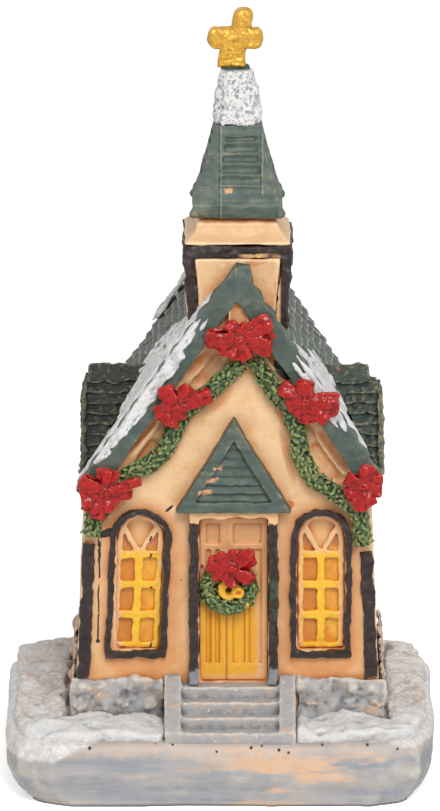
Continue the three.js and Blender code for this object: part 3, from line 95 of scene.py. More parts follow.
# Slab: a thick pad of cast resin, washed with grey and white paint. The wash is thin along the
# front, where the bare peach resin shows, and air bubbles left pinholes along its front edge.
class Mark:
    """One value in a material. Sums and products of marks add the Math nodes they need."""

    def __init__(self, tree, socket):
        self.tree = tree
        self.socket = socket

    def maths(self, operation, first, second=0):
        node = self.tree.nodes.new("ShaderNodeMath")
        node.operation = operation
        for slot, value in zip(node.inputs, (first, second)):
            feed(self.tree, slot, value)
        return Mark(self.tree, node.outputs[0])

    def __add__(self, other):
        return self.maths("ADD", self, other)

    def __radd__(self, other):
        return self.maths("ADD", other, self)

    def __sub__(self, other):
        return self.maths("SUBTRACT", self, other)

    def __rsub__(self, other):
        return self.maths("SUBTRACT", other, self)

    def __mul__(self, other):
        return self.maths("MULTIPLY", self, other)

    def __rmul__(self, other):
        return self.maths("MULTIPLY", other, self)

    def __abs__(self):
        return self.maths("ABSOLUTE", self)

    def root(self):
        return self.maths("SQRT", self)

    def least(self, other):
        return self.maths("MINIMUM", self, other)

    def most(self, other):
        return self.maths("MAXIMUM", self, other)

    def step(self, start, end):
        """0 at start and 1 at end, softly; a start above the end turns it round."""
        node = self.tree.nodes.new("ShaderNodeMapRange")
        node.interpolation_type = "SMOOTHSTEP"
        for name, value in (("Value", self), ("From Min", start), ("From Max", end)):
            feed(self.tree, node.inputs[name], value)
        return Mark(self.tree, node.outputs["Result"])


def feed(tree, slot, value):
    if isinstance(value, Mark):
        tree.links.new(value.socket, slot)
    else:
        slot.default_value = value


def paint(red, green, blue):
    """A colour as it is seen, in steps of 255, made linear for the shader."""
    def linear(level):
        share = level / 255
        return share / 12.92 if share <= 0.04045 else ((share + 0.055) / 1.055) ** 2.4
    return (linear(red), linear(green), linear(blue), 1)


class Finish:
    """A painted surface: coats of colour on one Principled shader, with patterns in millimetres."""

    def __init__(self, name, **fixed):
        self.material = bpy.data.materials.new(name)
        self.material.use_nodes = True
        self.tree = self.material.node_tree
        self.shader = self.tree.nodes["Principled BSDF"]
        for socket, value in fixed.items():
            self.shader.inputs[socket.replace("_", " ")].default_value = value
        scaled = {"Vector": self.node("ShaderNodeTexCoord")[3], "Scale": 1 / mm}
        self.place = self.node("ShaderNodeVectorMath", {"operation": "SCALE"}, scaled)[0]
        self.x, self.y, self.z = self.node("ShaderNodeSeparateXYZ", {}, {"Vector": self.place})

    def node(self, kind, settings=None, sockets=None):
        """The outputs of a new node, after its settings and its sockets are set."""
        made = self.tree.nodes.new(kind)
        for name, value in (settings or {}).items():
            setattr(made, name, value)
        for name, value in (sockets or {}).items():
            feed(self.tree, made.inputs[name], value)
        return [Mark(self.tree, output) for output in made.outputs]

    def stretched(self, stretch):
        settings = {"operation": "MULTIPLY"}
        return self.node("ShaderNodeVectorMath", settings, {0: self.place, 1: stretch})[0]

    def noise(self, size, detail=3, rough=0.55, stretch=(1, 1, 1), seed=0):
        sockets = {"Vector": self.stretched(stretch), "W": seed * 7.3, "Scale": 1 / size,
                   "Detail": detail, "Roughness": rough}
        return self.node("ShaderNodeTexNoise", {"noise_dimensions": "4D"}, sockets)[0]

    def cells(self, size, stretch=(1, 1, 1)):
        sockets = {"Vector": self.stretched(stretch), "Scale": 1 / size}
        return self.node("ShaderNodeTexVoronoi", {}, sockets)[0]

    def relief(self):
        """The piece's own relief attribute: below a half in folds, and above it on edges."""
        settings = {"attribute_type": "GEOMETRY", "attribute_name": "relief"}
        return self.node("ShaderNodeAttribute", settings)[2]

    # Painted shade: a mask that is 1 in the folds and hollows of the piece's own relief.
    def hollow_shade(self, gain):
        return (0.5 - self.relief()).step(0.002 / gain, 0.045 / gain)

    def ridges(self, gain):
        return (self.relief() - 0.5).step(0.004 / gain, 0.05 / gain)

    def nook_shade(self, reach):
        """Painted shade where nearby surfaces shut out the light, within a reach in millimetres."""
        sockets = {"Distance": reach * mm}
        return self.node("ShaderNodeAmbientOcclusion", {"samples": 4}, sockets)[1].step(0.85, 0.35)

    def mix(self, share, first, second):
        """A blend of two colours, each a mark or the levels of a paint."""
        tints = [tint if isinstance(tint, Mark) else paint(*tint) for tint in (first, second)]
        sockets = {0: share, 6: tints[0], 7: tints[1]}
        return self.node("ShaderNodeMix", {"data_type": "RGBA"}, sockets)[2]

    def ground(self, share, first, second):
        """The first coat, which varies between two colours."""
        self.colour = self.mix(share, first, second)

    def lay(self, share, tint):
        """One more coat over the others, with the share of it that each spot gets."""
        self.colour = self.mix(share, self.colour, tint)

    def done(self, roughness=None, bump=None, depth=0.1):
        """Links the finished coats to the shader. The depth of the bump is in millimetres."""
        feed(self.tree, self.shader.inputs["Base Color"], self.colour)
        if roughness is not None:
            feed(self.tree, self.shader.inputs["Roughness"], roughness)
        if bump is not None:
            sockets = {"Height": bump, "Distance": depth * mm, "Strength": 1.0}
            feed(self.tree, self.shader.inputs["Normal"], self.node("ShaderNodeBump", {}, sockets)[0])
        return self.material


def pick(*pieces):
    """Only these pieces are selected, and the first is active."""
    bpy.ops.object.select_all(action="DESELECT")
    bpy.context.view_layer.objects.active = pieces[0]
    for piece in pieces:
        piece.select_set(True)


def finish_with(piece, kind, **settings):
    """Adds a modifier and applies it."""
    pick(piece)
    modifier = piece.modifiers.new(kind.lower(), kind)
    for name, value in settings.items():
        setattr(modifier, name, value)
    bpy.ops.object.modifier_apply(modifier=modifier.name)


def uneven(piece, size, depth, way="in and out"):
    """Moves a skin by a noise of that size and depth: in and out, inwards, every way or pebbled."""
    texture = bpy.data.textures.new(piece.name, "VORONOI" if way == "pebbled" else "CLOUDS")
    texture.noise_scale = size * mm
    if way == "every way":
        texture.cloud_type = "COLOR"
    finish_with(piece, "DISPLACE", texture=texture, texture_coords="LOCAL", strength=depth * mm,
                direction="RGB_TO_XYZ" if way == "every way" else "NORMAL",
                mid_level=0.8 if way == "inwards" else 0.5)


def merged_copy(node, name):
    """An own copy of a solid from model.glb, with its loose triangles merged."""
    piece = bpy.data.objects.new(name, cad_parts[node].data.copy())
    scene.collection.objects.link(piece)
    piece.data.materials.clear()
    pick(piece)
    bpy.ops.object.mode_set(mode="EDIT")
    bpy.ops.mesh.select_all(action="SELECT")
    bpy.ops.mesh.remove_doubles(threshold=0.001 * mm)
    bpy.ops.object.mode_set(mode="OBJECT")
    return piece


def choose(piece, test):
    """Opens a piece for editing, with the corners selected whose place in millimetres passes."""
    pick(piece)
    corners = piece.data.vertices
    for corner in corners:
        corner.select = test(corner.co / mm)
    for part in [*piece.data.edges, *piece.data.polygons]:
        part.select = all(corners[index].select for index in part.vertices)
    bpy.ops.object.mode_set(mode="EDIT")


def shift(x, y, z):
    """Moves what is selected by so many millimetres, and closes the piece."""
    bpy.ops.transform.translate(value=(x * mm, y * mm, z * mm))
    bpy.ops.object.mode_set(mode="OBJECT")


def scale(piece, test, amount, **centre):
    """Scales the corners that pass a test, about their own middle or a given centre."""
    choose(piece, test)
    bpy.ops.transform.resize(value=amount, **centre)
    bpy.ops.object.mode_set(mode="OBJECT")


def melt(piece, voxel, passes):
    """Runs a mesh together into one even skin with rounded edges, as a casting has."""
    finish_with(piece, "REMESH", mode="VOXEL", voxel_size=voxel * mm)
    if passes:
        finish_with(piece, "SMOOTH", factor=0.5, iterations=passes)


def mark_relief(piece):
    """Shades the skin smooth and keeps its folds and ridges as the attribute that paints read."""
    pick(piece)
    bpy.ops.object.shade_smooth()
    piece.data.color_attributes.new("relief", "FLOAT_COLOR", "CORNER")
    piece.data.color_attributes.active_color_index = 0
    bpy.ops.paint.vertex_color_dirt(blur_strength=1, blur_iterations=2, dirt_only=False,
                                    normalize=False)


def seat(piece, material, slot, *nodes, body="house"):
    """Gives a finished piece its material and its body, and hides the solids that it stands for."""
    piece.data.materials.clear()
    piece.data.materials.append(material)
    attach(piece, body)
    if nodes:
        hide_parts(*nodes)


snow_edge, slab_front = 8.2, -22
wash = Finish("slab_wash", Roughness=0.62)
drag = wash.noise(3, 4, 0.6, (0.16, 1, 1), seed=9)
wash.ground(drag.step(0.35, 0.68), (150, 154, 162), (192, 184, 176))
bare = wash.noise(6, 4, 0.6, (0.3, 1, 1.2), seed=1) + (drag - 0.5) * 0.5
front = wash.y.step(slab_front, slab_front - 2)
share = bare.step(0.53, 0.62) * (0.3 + 0.7 * wash.x.step(-4, 6))
wash.lay(share * front, (222, 184, 152))
margin = abs(wash.z - snow_edge - 1.4 * (wash.noise(3, seed=8) - 0.5)).step(1.6, 0.5)
wash.lay(margin * wash.noise(0.8, 3, 0.7, seed=11).step(0.4, 0.6) * 0.8, (196, 174, 158))
pale = wash.noise(3, 4, 0.65, seed=3).step(0.5, 0.66)
corner = abs(wash.x).step(22, 28)
wash.lay(pale * (0.1 + 0.6 * corner), (216, 212, 206))
# Lighter on raised edges, partly dry-brushed paint and partly a painted highlight; blue-grey in the
# hollows as painted shade.
wash.lay(wash.ridges(2.2) * 0.3, (222, 210, 198))
wash.lay(wash.hollow_shade(2.2) * 0.6, (112, 116, 124))
spill = wash.z + 2.4 * (wash.noise(3, 4, 0.6, seed=12) - 0.5)
spill = spill + 3 * wash.x.step(-15, -25) + 1.2 * wash.x.step(21, 27)
spill = spill + 1.5 * wash.y.step(-20, -10)
flurry = wash.noise(1.2, 4, 0.7, seed=13).step(0.4, 0.62)
wash.lay(spill.step(9.1, 9.8) * 0.9, wash.mix(flurry, (212, 206, 202), (238, 236, 233)))
# The pinholes are painted near-black as painted shade inside holes that the mesh doesn't have, and the
# bump dents them.
pinholes = wash.cells(1.5, (1, 0.4, 1)).step(0.17, 0.11)
holes = pinholes * abs(wash.z - 8.3).step(0.9, 0.7) * front
wash.lay(holes, (52, 44, 40))
# Dark blue-grey along the foot of the slab: a painted shadow line where it meets the floor.
wash.lay(wash.z.step(0.45, 0.1) * 0.7, (72, 86, 110))
grain = wash.noise(0.5, 4, 0.65) + wash.noise(1.6) - holes
slab_grey = wash.done(0.5 + 0.3 * wash.noise(2, seed=5), grain, 0.12)

slab = merged_copy("base_slab", "slab_casting")
for height in (1.5, 0.5):
    choose(slab, lambda spot: spot.z < height and spot.y < -15)
    shift(0, -1, 0)
melt(slab, 0.4, 4)
uneven(slab, 9, 0.7)
uneven(slab, 2.6, 0.22)
scale(slab, lambda spot: spot.z < 0.5, (1, 1, 0), center_override=(0, 0, 0))
mark_relief(slab)
seat(slab, slab_grey, "slab_resin", "base_slab")


# Snow on the slab: thick white paint with fine grit in it, stippled on in two banks that run round
# the house. Their front edges are ragged and thin out over the grey slab.
def move_side(piece, axis, highest, amount):
    """Moves the flat side that lies lowest or highest along an axis, to bed it in its neighbour."""
    spots = [corner.co[axis] / mm for corner in piece.data.vertices]
    edge = max(spots) if highest else min(spots)
    choose(piece, lambda spot: abs(spot[axis] - edge) < 0.02)
    shift(*[amount if index == axis else 0 for index in range(3)])


def cast(piece, voxel, passes, *waves):
    """The whole skin of a casting: run together, made uneven by waves, and ready for its paint."""
    melt(piece, voxel, passes)
    for wave in waves:
        uneven(piece, *wave)
    mark_relief(piece)


def snow_coat(name, gain, sandy=0.0, pitted=0.3, drag=(1, 1, 1), pit_shade=(142, 150, 156), collar=None):
    coat = Finish(name, Roughness=0.7, Subsurface_Weight=0.08, Subsurface_Scale=1.2 * mm)
    coat.ground(coat.noise(2.5, 4, 0.6), (216, 215, 214), (234, 232, 230))
    sand = coat.noise(5, seed=2).step(0.35, 0.6) * coat.noise(0.6, 3, 0.7, seed=5).step(0.4, 0.6)
    coat.lay(sand * coat.y.step(-20, -13) * sandy, (190, 172, 158))
    # Grey in the pits and hollows of the snow: painted shade.
    shaded_pits = coat.noise(0.55, 2, 0.6, drag, seed=7).step(0.5, 0.36) * pitted
    coat.lay(coat.hollow_shade(gain).most(shaded_pits) * 0.8, pit_shade)
    specks = coat.cells(0.9).step(0.16, 0.08) * coat.noise(3, 2, seed=4).step(0.5, 0.62)
    coat.lay(specks * 0.6, (110, 106, 104))
    if collar:
        coat.lay(coat.z.step(*collar), (58, 78, 78))
    return coat.done(None, coat.noise(0.28, 3, 0.7) + coat.noise(0.9, 3, 0.6), 0.14)


snow_white = snow_coat("stippled_snow", 1.2, sandy=0.8)
for side in ("left", "right"):
    bank = merged_copy(f"snow_{side}", f"snow_bank_{side}")
    move_side(bank, 2, False, -1.2)
    choose(bank, lambda spot: spot.y < -17 and spot.z > 9.5)
    shift(0, -0.6, -0.7)
    cast(bank, 0.35, 3, (5, 2.4, "every way"), (4, 0.9), (0.9, 0.35))
    seat(bank, snow_white, "snow_paint", f"snow_{side}")


# Steps: cast stone with worn noses and a cheek wall at each side, under a thin grey-blue wash that
# lets the warm resin through at the edges.
def stone_wash(name, gain, warmth, resin_sides=0, soot=0):
    wash = Finish(name, Roughness=0.6)
    wash.ground(wash.noise(3, 4, 0.6, (0.5, 1, 1)), (144, 149, 157), (192, 185, 176))
    warm = wash.noise(2.4, 4, 0.65, (0.6, 1, 1), seed=3).step(0.62 - 0.2 * warmth, 0.76 - 0.2 * warmth)
    wash.lay(warm * 0.8, (204, 172, 144))
    wash.lay(wash.y.step(-14, -11) * resin_sides, (204, 160, 122))
    wash.lay(wash.noise(4, 4, 0.55, seed=8).step(0.5, 0.66) * soot, (98, 101, 104))
    # Dark grey in the hollows and against neighbouring pieces: partly dark joints and partly painted
    # shade.
    wash.lay(wash.hollow_shade(gain).most(wash.nook_shade(1.2) * 0.8) * 0.85, (84, 86, 92))
    # Lighter on raised edges, partly dry-brushed paint and partly a painted highlight.
    wash.lay(wash.ridges(gain) * 0.75, (222, 208, 192))
    # Near-white flecks: painted glints.
    wash.lay(wash.noise(0.7, 2, seed=6).step(0.66, 0.74) * 0.8, (238, 236, 234))
    grain = wash.noise(0.35, 3, 0.6) + wash.noise(1.1)
    return wash.done(0.45 + 0.3 * wash.noise(1.5, seed=7), grain, 0.1)


steps = merged_copy("front_steps", "stone_steps")
move_side(steps, 2, False, -0.6)
move_side(steps, 1, True, 0.4)
cast(steps, 0.22, 4, (2.4, 0.3, "every way"), (0.8, 0.16))
seat(steps, stone_wash("step_stone", 1.0, 0.35), "stone_paint", "front_steps")


# Plinth: a course of rough field stones round the foot of the walls, cast in one with them.
# Blue-grey and tan washes lie in turn over the stones; the joints between them are dark, partly as
# painted shade, and near-white flecks are painted glints.
plinth_stone = stone_wash("plinth_stone", 1.1, 0.6, 0.75, 0.4)
for side in ("left", "right"):
    plinth = merged_copy(f"stone_plinth_{side}", f"rough_plinth_{side}")
    move_side(plinth, 2, False, -0.6)
    outward = -1 if side == "left" else 1
    wall_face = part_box(f"{side}_wall")[0 if side == "left" else 1].x / mm
    choose(plinth, lambda spot: outward * (spot.x - wall_face) > 0.4)
    shift(-0.4 * outward, 0, 0)
    choose(plinth, lambda spot: outward * (spot.x - wall_face) > 0.1 and spot.y > -13.5)
    shift(-0.5 * outward, 0, 0)
    cast(plinth, 0.22, 3, (2.4, 0.9, "every way"), (3.2, -0.9, "pebbled"), (1.2, 0.3))
    seat(plinth, plinth_stone, "stone_paint", f"stone_plinth_{side}")


# Walls: peach resin that is left bare, waxy and a little translucent. Orange lies in the corners,
# partly as a wash and partly as painted shade, and round the windows; the front is cast with sunk
# ovals and a niche in its gable.
def resin(name):
    skin = Finish(name, Roughness=0.42, Subsurface_Weight=0.15, Subsurface_Scale=1.2 * mm,
                  Subsurface_Radius=(1, 0.5, 0.25))
    skin.ground(skin.noise(9, 3, 0.5), (242, 206, 160), (234, 192, 142))
    skin.lay(skin.z.step(40, 20) * 0.45, (232, 184, 128))
    skin.lay(skin.z.step(21, 16) * 0.6, (228, 164, 104))
    blotch = skin.noise(3, 4, 0.6, seed=2).step(0.5, 0.7)
    blotch = blotch + skin.noise(7, 3, 0.6, (1, 1, 0.4), seed=9).step(0.55, 0.7)
    skin.lay(blotch.least(1) * 0.45, (222, 158, 100))
    return skin


def shaded_and_worn(skin, gain, slips=()):
    """An orange wash and painted shade in the corners, and lighter edges of bare resin, partly worn
    and partly a painted highlight, under slips of the brush.
    """
    # Orange in hollows and against neighbouring pieces: partly a wash and partly painted shade.
    wash_and_shade = skin.nook_shade(2.6) * (0.75 + 1.2 * (skin.noise(2.2, seed=7) - 0.4)).least(1).most(0)
    skin.lay(skin.hollow_shade(gain).most(wash_and_shade) * 0.85, (206, 122, 62))
    # Lighter on raised edges: partly worn bare resin and partly a painted highlight.
    skin.lay(skin.ridges(gain) * 0.5, (248, 222, 184))
    specks = skin.cells(2.6).step(0.1, 0.06) * skin.noise(6, 2, seed=5).step(0.52, 0.6)
    skin.lay(specks * 0.7, (196, 110, 60))
    for share, tint in slips:
        skin.lay(share, tint)
    grain = skin.noise(2.2) + 0.35 * skin.noise(0.5)
    return skin.done(0.36 + 0.16 * skin.noise(1.6, 2, seed=6), grain, 0.2)


def new_part(add, **settings):
    """A part made by one of Blender's primitives, with nothing else selected."""
    bpy.ops.object.select_all(action="DESELECT")
    add(**settings)
    bpy.ops.object.transform_apply(location=False)
    return bpy.context.object


def gather(parts, name):
    """Joins parts into the first one."""
    pick(*parts)
    bpy.ops.object.join()
    parts[0].name = name
    return parts[0]


def oval_marks(skin, x, z, degrees, long, wide):
    """How far a spot lies from the middle of an oval, squared, and on which side of its axis."""
    angle = math.radians(degrees)
    along = (skin.x - x) * math.cos(angle) + (skin.z - z) * math.sin(angle)
    beside = (skin.z - z) * math.cos(angle) - (skin.x - x) * math.sin(angle)
    return along * along * (1 / long ** 2) + beside * beside * (1 / wide ** 2), beside


skin = resin("front_resin")
for low, high in [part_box(f"window_frame_{side}") for side in ("left", "right")]:
    half = (high.x - low.x) / 2 / mm
    rise = (skin.z - (high.z / mm - half)).most(0)
    across = skin.x - (low.x + high.x) / 2 / mm
    away = (across * across + rise * rise).root() - half + (low.z / mm - skin.z).most(0)
    away = away + 0.5 * (skin.noise(2.2, seed=8) - 0.5)
    skin.lay(away.step(2.2, 0.1) * 0.6, (218, 142, 80))
# Sunk ovals beside the boards: middle (x, z), slope in degrees, length and width.
ovals = ((-2.7, 60.9, 48, 6.4, 2.3), (-11.2, 50.6, 47, 9.8, 2.3),
         (7.2, 61.8, -50, 5.4, 2.1), (15.6, 48.4, -57, 9, 2.8))
for x, z, degrees, long, wide in ovals:
    gap, beside = oval_marks(skin, x, z, degrees, long / 2, wide / 2)
    gap = gap + 0.8 * (skin.noise(1.4, seed=14) - 0.5)
    # Inside each sunk oval the wall is painted darker tan, and brown along its upper side: painted
    # shade.
    skin.lay(gap.step(1.5, 0.8) * 0.7, (208, 148, 96))
    skin.lay(gap.step(1.9, 1.1) * beside.step(0.2, 0.9) * 0.9, (166, 98, 52))
# A thin run of dark paint beside the left window.
run = abs(skin.x + 16.65 + (37 - skin.z) * 0.02 + 0.5 * (skin.noise(1.6, seed=10) - 0.5))
run = (run - skin.z.step(31, 36) * 0.12).step(0.17, 0.09)
run = run * skin.z.step(20.8, 21.2) * skin.z.step(37.4, 37.1)
run = run * skin.noise(0.9, seed=12).step(0.34, 0.4)
slips = [(run, (50, 40, 38))]
# Slips of the brush: middle (x, z), half length, half height, slope in degrees and colour.
for x, z, wide, high, degrees, tint in ((-16.95, 21, 0.3, 0.28, 0, (44, 34, 32)),
                                        (-15.6, 36.6, 1.3, 0.6, 20, (36, 28, 26)),
                                        (8.6, 59.9, 1.7, 0.75, -52, (42, 54, 42)),
                                        (9.5, 40.7, 0.8, 0.65, 0, (214, 128, 62)),
                                        (-7.0, 40.1, 0.75, 0.2, 42, (44, 34, 32))):
    gap = oval_marks(skin, x, z, degrees, wide, high)[0]
    gap = gap + 0.9 * (skin.noise(0.8, seed=13) - 0.5)
    slips.append((gap.step(1.15, 0.85), tint))
# Orange patches with soft edges beside the garlands, partly stain and partly painted shade: middle (x,
# z), half length, half height and slope.
for x, z, wide, high, degrees in ((-0.8, 55.4, 2.6, 1.3, 40), (9.3, 47.8, 4, 0.6, 103),
                                  (8.6, 53, 2.5, 0.6, 112), (-14.2, 40.5, 2, 0.6, 42),
                                  (2.9, 70.2, 1.2, 1.1, 60), (18.4, 38.6, 2.4, 0.7, 80),
                                  (-8.2, 47.6, 3.2, 0.6, 56), (-12.6, 43.6, 3, 0.5, 38),
                                  (12.2, 44.6, 2.4, 0.5, 125)):
    gap = oval_marks(skin, x, z, degrees, wide, high)[0]
    gap = gap + 2 * (skin.noise(0.9, 4, 0.65, seed=16) - 0.5)
    skin.lay(gap.step(1.6, 0.1) * 0.65, (200, 124, 64))

wall = merged_copy("front_wall", "front_casting")
niche_middle, niche_top, niche_radius = 2.6, 70.7, 1.5
niche = new_part(bpy.ops.mesh.primitive_cylinder_add, vertices=24, radius=niche_radius * mm,
                 depth=2.4 * mm, rotation=(math.pi / 2, 0, 0))
niche.data.transform(Matrix.Translation(Vector((niche_middle, -15.3, niche_top - niche_radius)) * mm))
choose(niche, lambda spot: spot.z < niche_top - niche_radius - 0.1)
shift(0, 0, -3)
choose(niche, lambda spot: spot.y < -16)
bpy.ops.mesh.inset(thickness=0.5 * mm)
shift(0.4, 1.3, -0.4)
wall = gather([wall, niche], "front_casting")
melt(wall, 0.26, 1)
for x, z, degrees, long, wide in ovals:
    hollow = new_part(bpy.ops.mesh.primitive_uv_sphere_add, segments=24, ring_count=12,
                      radius=0.5 * mm)
    hollow.data.transform(Matrix.Translation(Vector((x, -15.6, z)) * mm)
                          @ Matrix.Rotation(math.radians(-degrees), 4, "Y")
                          @ Matrix.Diagonal((long, 4.2, wide, 1)))
    finish_with(wall, "BOOLEAN", object=hollow, operation="DIFFERENCE", solver="EXACT")
    bpy.data.objects.remove(hollow)
cast(wall, 0.26, 3, (6, 0.4, "every way"), (2.2, 0.3))
seat(wall, shaded_and_worn(skin, 1.3, slips), "peach_resin", "front_wall")

plain_resin = shaded_and_worn(resin("plain_resin"), 1.5)
for side in ("rear", "left", "right"):
    wall = merged_copy(f"{side}_wall", f"{side}_casting")
    if side != "rear":
        move_side(wall, 1, True, 0.4)
        move_side(wall, 1, False, -0.4)
    cast(wall, 0.35, 2, (7, 0.35), (2.4, 0.12))
    seat(wall, plain_resin, "peach_resin", f"{side}_wall")


# Corner posts, window frames and porch posts: raised bands of the casting, painted by hand in a
# near-black brown. The brush wobbled, so their edges wander and their faces show thin streaks.
def dark_line(name, touches=()):
    brush = Finish(name, Roughness=0.4, Specular_IOR_Level=0.35)
    streak = brush.noise(0.9, 3, 0.6, (1, 1, 0.2))
    brush.ground(streak, (30, 22, 20), (60, 48, 45))
    # Lighter brown on raised edges: a painted sheen.
    brush.lay(brush.ridges(1.2) * 0.3, (92, 78, 74))
    for where, tint in touches:
        brush.lay(where(brush), tint)
    brush.lay(brush.noise(0.8, 3, 0.6, seed=3).step(0.7, 0.76) * 0.8, (210, 160, 120))
    return brush.done(0.34 + 0.2 * brush.noise(1.4, 2, seed=4), streak, 0.08)


def lean(part, side):
    """The left window leans: each row of panes lies a little further left than the one above it."""
    if side == "left":
        for height in (34.2, 30.6, 26, 22):
            choose(part, lambda spot: spot.z < height)
            shift(-0.2, 0, 0)


def painted_band(band, node, material):
    """A raised band, bedded in the wall behind it, with the wandering edge of a hand-drawn line."""
    move_side(band, 1, True, 0.5)
    cast(band, 0.16, 3, (2.6, 0.75, "every way"), (1.2, 0.4, "inwards"))
    seat(band, material, "dark_paint", node)


dark_paint = dark_line("dark_brush_line")
for side in ("left", "right"):
    node = f"corner_post_{side}"
    painted_band(merged_copy(node, f"corner_band_{side}"), node, dark_paint)
    node = f"window_frame_{side}"
    surround = merged_copy(node, f"window_surround_{side}")
    lean(surround, side)
    painted_band(surround, node, dark_paint)

# The lintel was left bare, the feet of the posts caught the grey of the steps, and the right post
# some green.
porch_touches = [
    (lambda brush: (brush.z + brush.noise(0.9, seed=6)).step(38.7, 38.9), (232, 186, 136)),
    (lambda brush: (brush.z + 4 * brush.noise(1.1, seed=7)).step(19.6, 18.8) * 0.9, (142, 146, 155)),
    (lambda brush: brush.x.step(5, 5.6) * brush.z.step(24, 25.5) * brush.z.step(31, 29)
     * brush.noise(1.4, seed=8).step(0.4, 0.52) * 0.8, (56, 84, 60))]
surround = merged_copy("porch_frame", "porch_surround")
painted_band(surround, "porch_frame", dark_line("porch_brush_line", porch_touches))


# Windows: leaded lights in low relief. The bars are bright yellow in the lower part and bare peach
# in the fan at the top, with dark ticks on the left one, and amber has pooled darker in the panes.
windows_middle, window_offset = 1.5, 12.5
coat = Finish("bar_paint", Roughness=0.35, Subsurface_Weight=0.1, Subsurface_Scale=1 * mm)
height = coat.z + 1.2 * (coat.noise(1.8) - 0.5)
yellow = coat.mix(coat.noise(1.4, seed=2), (250, 200, 50), (240, 176, 46))
peach = coat.mix(coat.noise(1.6, seed=3), (240, 200, 150), (232, 176, 120))
rim = abs(abs(coat.x - windows_middle) - window_offset) + 0.6 * (coat.noise(1.2, seed=4) - 0.5)
coat.ground(height.step(34.4, 33) * rim.step(2.9, 2.3), peach, yellow)
# Orange-brown in the hollows and against neighbouring pieces: partly a wash and partly painted shade.
coat.lay(coat.hollow_shade(0.9).most(coat.nook_shade(0.9) * 0.8) * 0.85, (190, 102, 34))
for height in (35.5, 33, 28.3, 23.7, 20.2):
    tick = abs(coat.x + 9.6 - 0.35 * (coat.z - height)) * 2.4
    coat.lay(tick.most(abs(coat.z - height)).step(0.42, 0.3), (48, 34, 28))
bar_yellow = coat.done(None, coat.noise(0.6), 0.08)

amber = Finish("amber_pool", Roughness=0.28, Subsurface_Weight=0.1, Subsurface_Scale=1 * mm)
pool = amber.noise(1.5, 3, 0.6, (1, 1, 0.6))
amber.ground(pool.step(0.35, 0.65), (238, 178, 58), (218, 146, 40))
right_pane = (amber.x - 14).step(0.3, -0.3) * amber.x.step(0, 1)
left_half = (amber.x + 11.4).step(0.3, -0.3).most(right_pane)
shade = amber.z + 2.5 * (amber.noise(2.5, 2, seed=5) - 0.5)
amber.lay(left_half * 0.75, amber.mix(shade.step(28, 33), (198, 118, 44), (206, 120, 24)))
side_glass = abs(abs(amber.x - windows_middle) - window_offset).step(0.4, 2)
amber.lay(amber.z.step(33.6, 34.6), amber.mix(side_glass, (228, 178, 120), (200, 124, 66)))
pane_amber = amber.done(None, pool, 0.15)

for side in ("left", "right"):
    bars = merged_copy(f"window_tracery_{side}", f"window_bars_{side}")
    lean(bars, side)
    move_side(bars, 1, True, 0.3)
    cast(bars, 0.13, 4, (1.6, 0.45, "every way"))
    seat(bars, bar_yellow, "yellow_paint", f"window_tracery_{side}")
    glass = merged_copy(f"window_pane_{side}", f"window_glass_{side}")
    lean(glass, side)
    move_side(glass, 1, False, -0.25)
    cast(glass, 0.2, 2, (1.5, 0.25))
    seat(glass, pane_amber, "amber_pane", f"window_pane_{side}")


# Door: two panelled leaves in the same casting. Yellow paint covers the lower panels and thins out
# to bare peach at the top and along the edges.
skin = Finish("door_paint", Roughness=0.38, Subsurface_Weight=0.12, Subsurface_Scale=1.2 * mm,
              Subsurface_Radius=(1, 0.5, 0.25))
peach = skin.mix(skin.noise(2), (240, 194, 142), (226, 160, 104))
yellow = skin.mix(skin.noise(1.2, 3, 0.6, (1, 1, 0.3)), (242, 184, 40), (228, 156, 36))
height = skin.z + 2 * (skin.noise(2, seed=2) - 0.5)
middle = abs(skin.x - 1.2) + 0.9 * (skin.noise(1.4, seed=3) - 0.5)
skin.ground(height.step(30.5, 27) * height.step(15.2, 16.4) * middle.step(4.4, 3.4), peach, yellow)
# Orange-brown round the sunk panels and against neighbouring pieces: partly outline paint and partly
# painted shade.
skin.lay(skin.hollow_shade(0.9).most(skin.nook_shade(1) * 0.7) * 0.8, (190, 104, 36))
seam = abs(skin.x - 0.9 + 0.2 * (skin.noise(1.5, 2, seed=6) - 0.5)).step(0.2, 0.08)
skin.lay(seam * skin.z.step(30.5, 29) * 0.7, (170, 92, 30))
red_spot = (abs(skin.x + 2.5) * 1.2).most(abs(skin.z - 31.5) * 0.9).step(0.3, 0.18)
skin.lay(red_spot, (176, 30, 30))
door_yellow = skin.done(None, skin.noise(0.8, 3, 0.6, (1, 1, 0.4)), 0.1)

for side in ("left", "right"):
    leaf = merged_copy(f"door_leaf_{side}", f"door_panel_{side}")
    if side == "left":
        low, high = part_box("door_leaf_left")
        bead = new_part(bpy.ops.mesh.primitive_cylinder_add, vertices=12, radius=0.32 * mm,
                        depth=high.z - low.z)
        centre = (high.x + 0.02 * mm, low.y + 0.3 * mm, (low.z + high.z) / 2)
        bead.data.transform(Matrix.Translation(centre))
        scale(bead, lambda spot: spot.y < low.y / mm + 0.1, (0.7, 1, 1))
        leaf = gather([leaf, bead], f"door_panel_{side}")
    cast(leaf, 0.14, 4, (1.4, 0.12))
    seat(leaf, door_yellow, "yellow_paint", f"door_leaf_{side}")


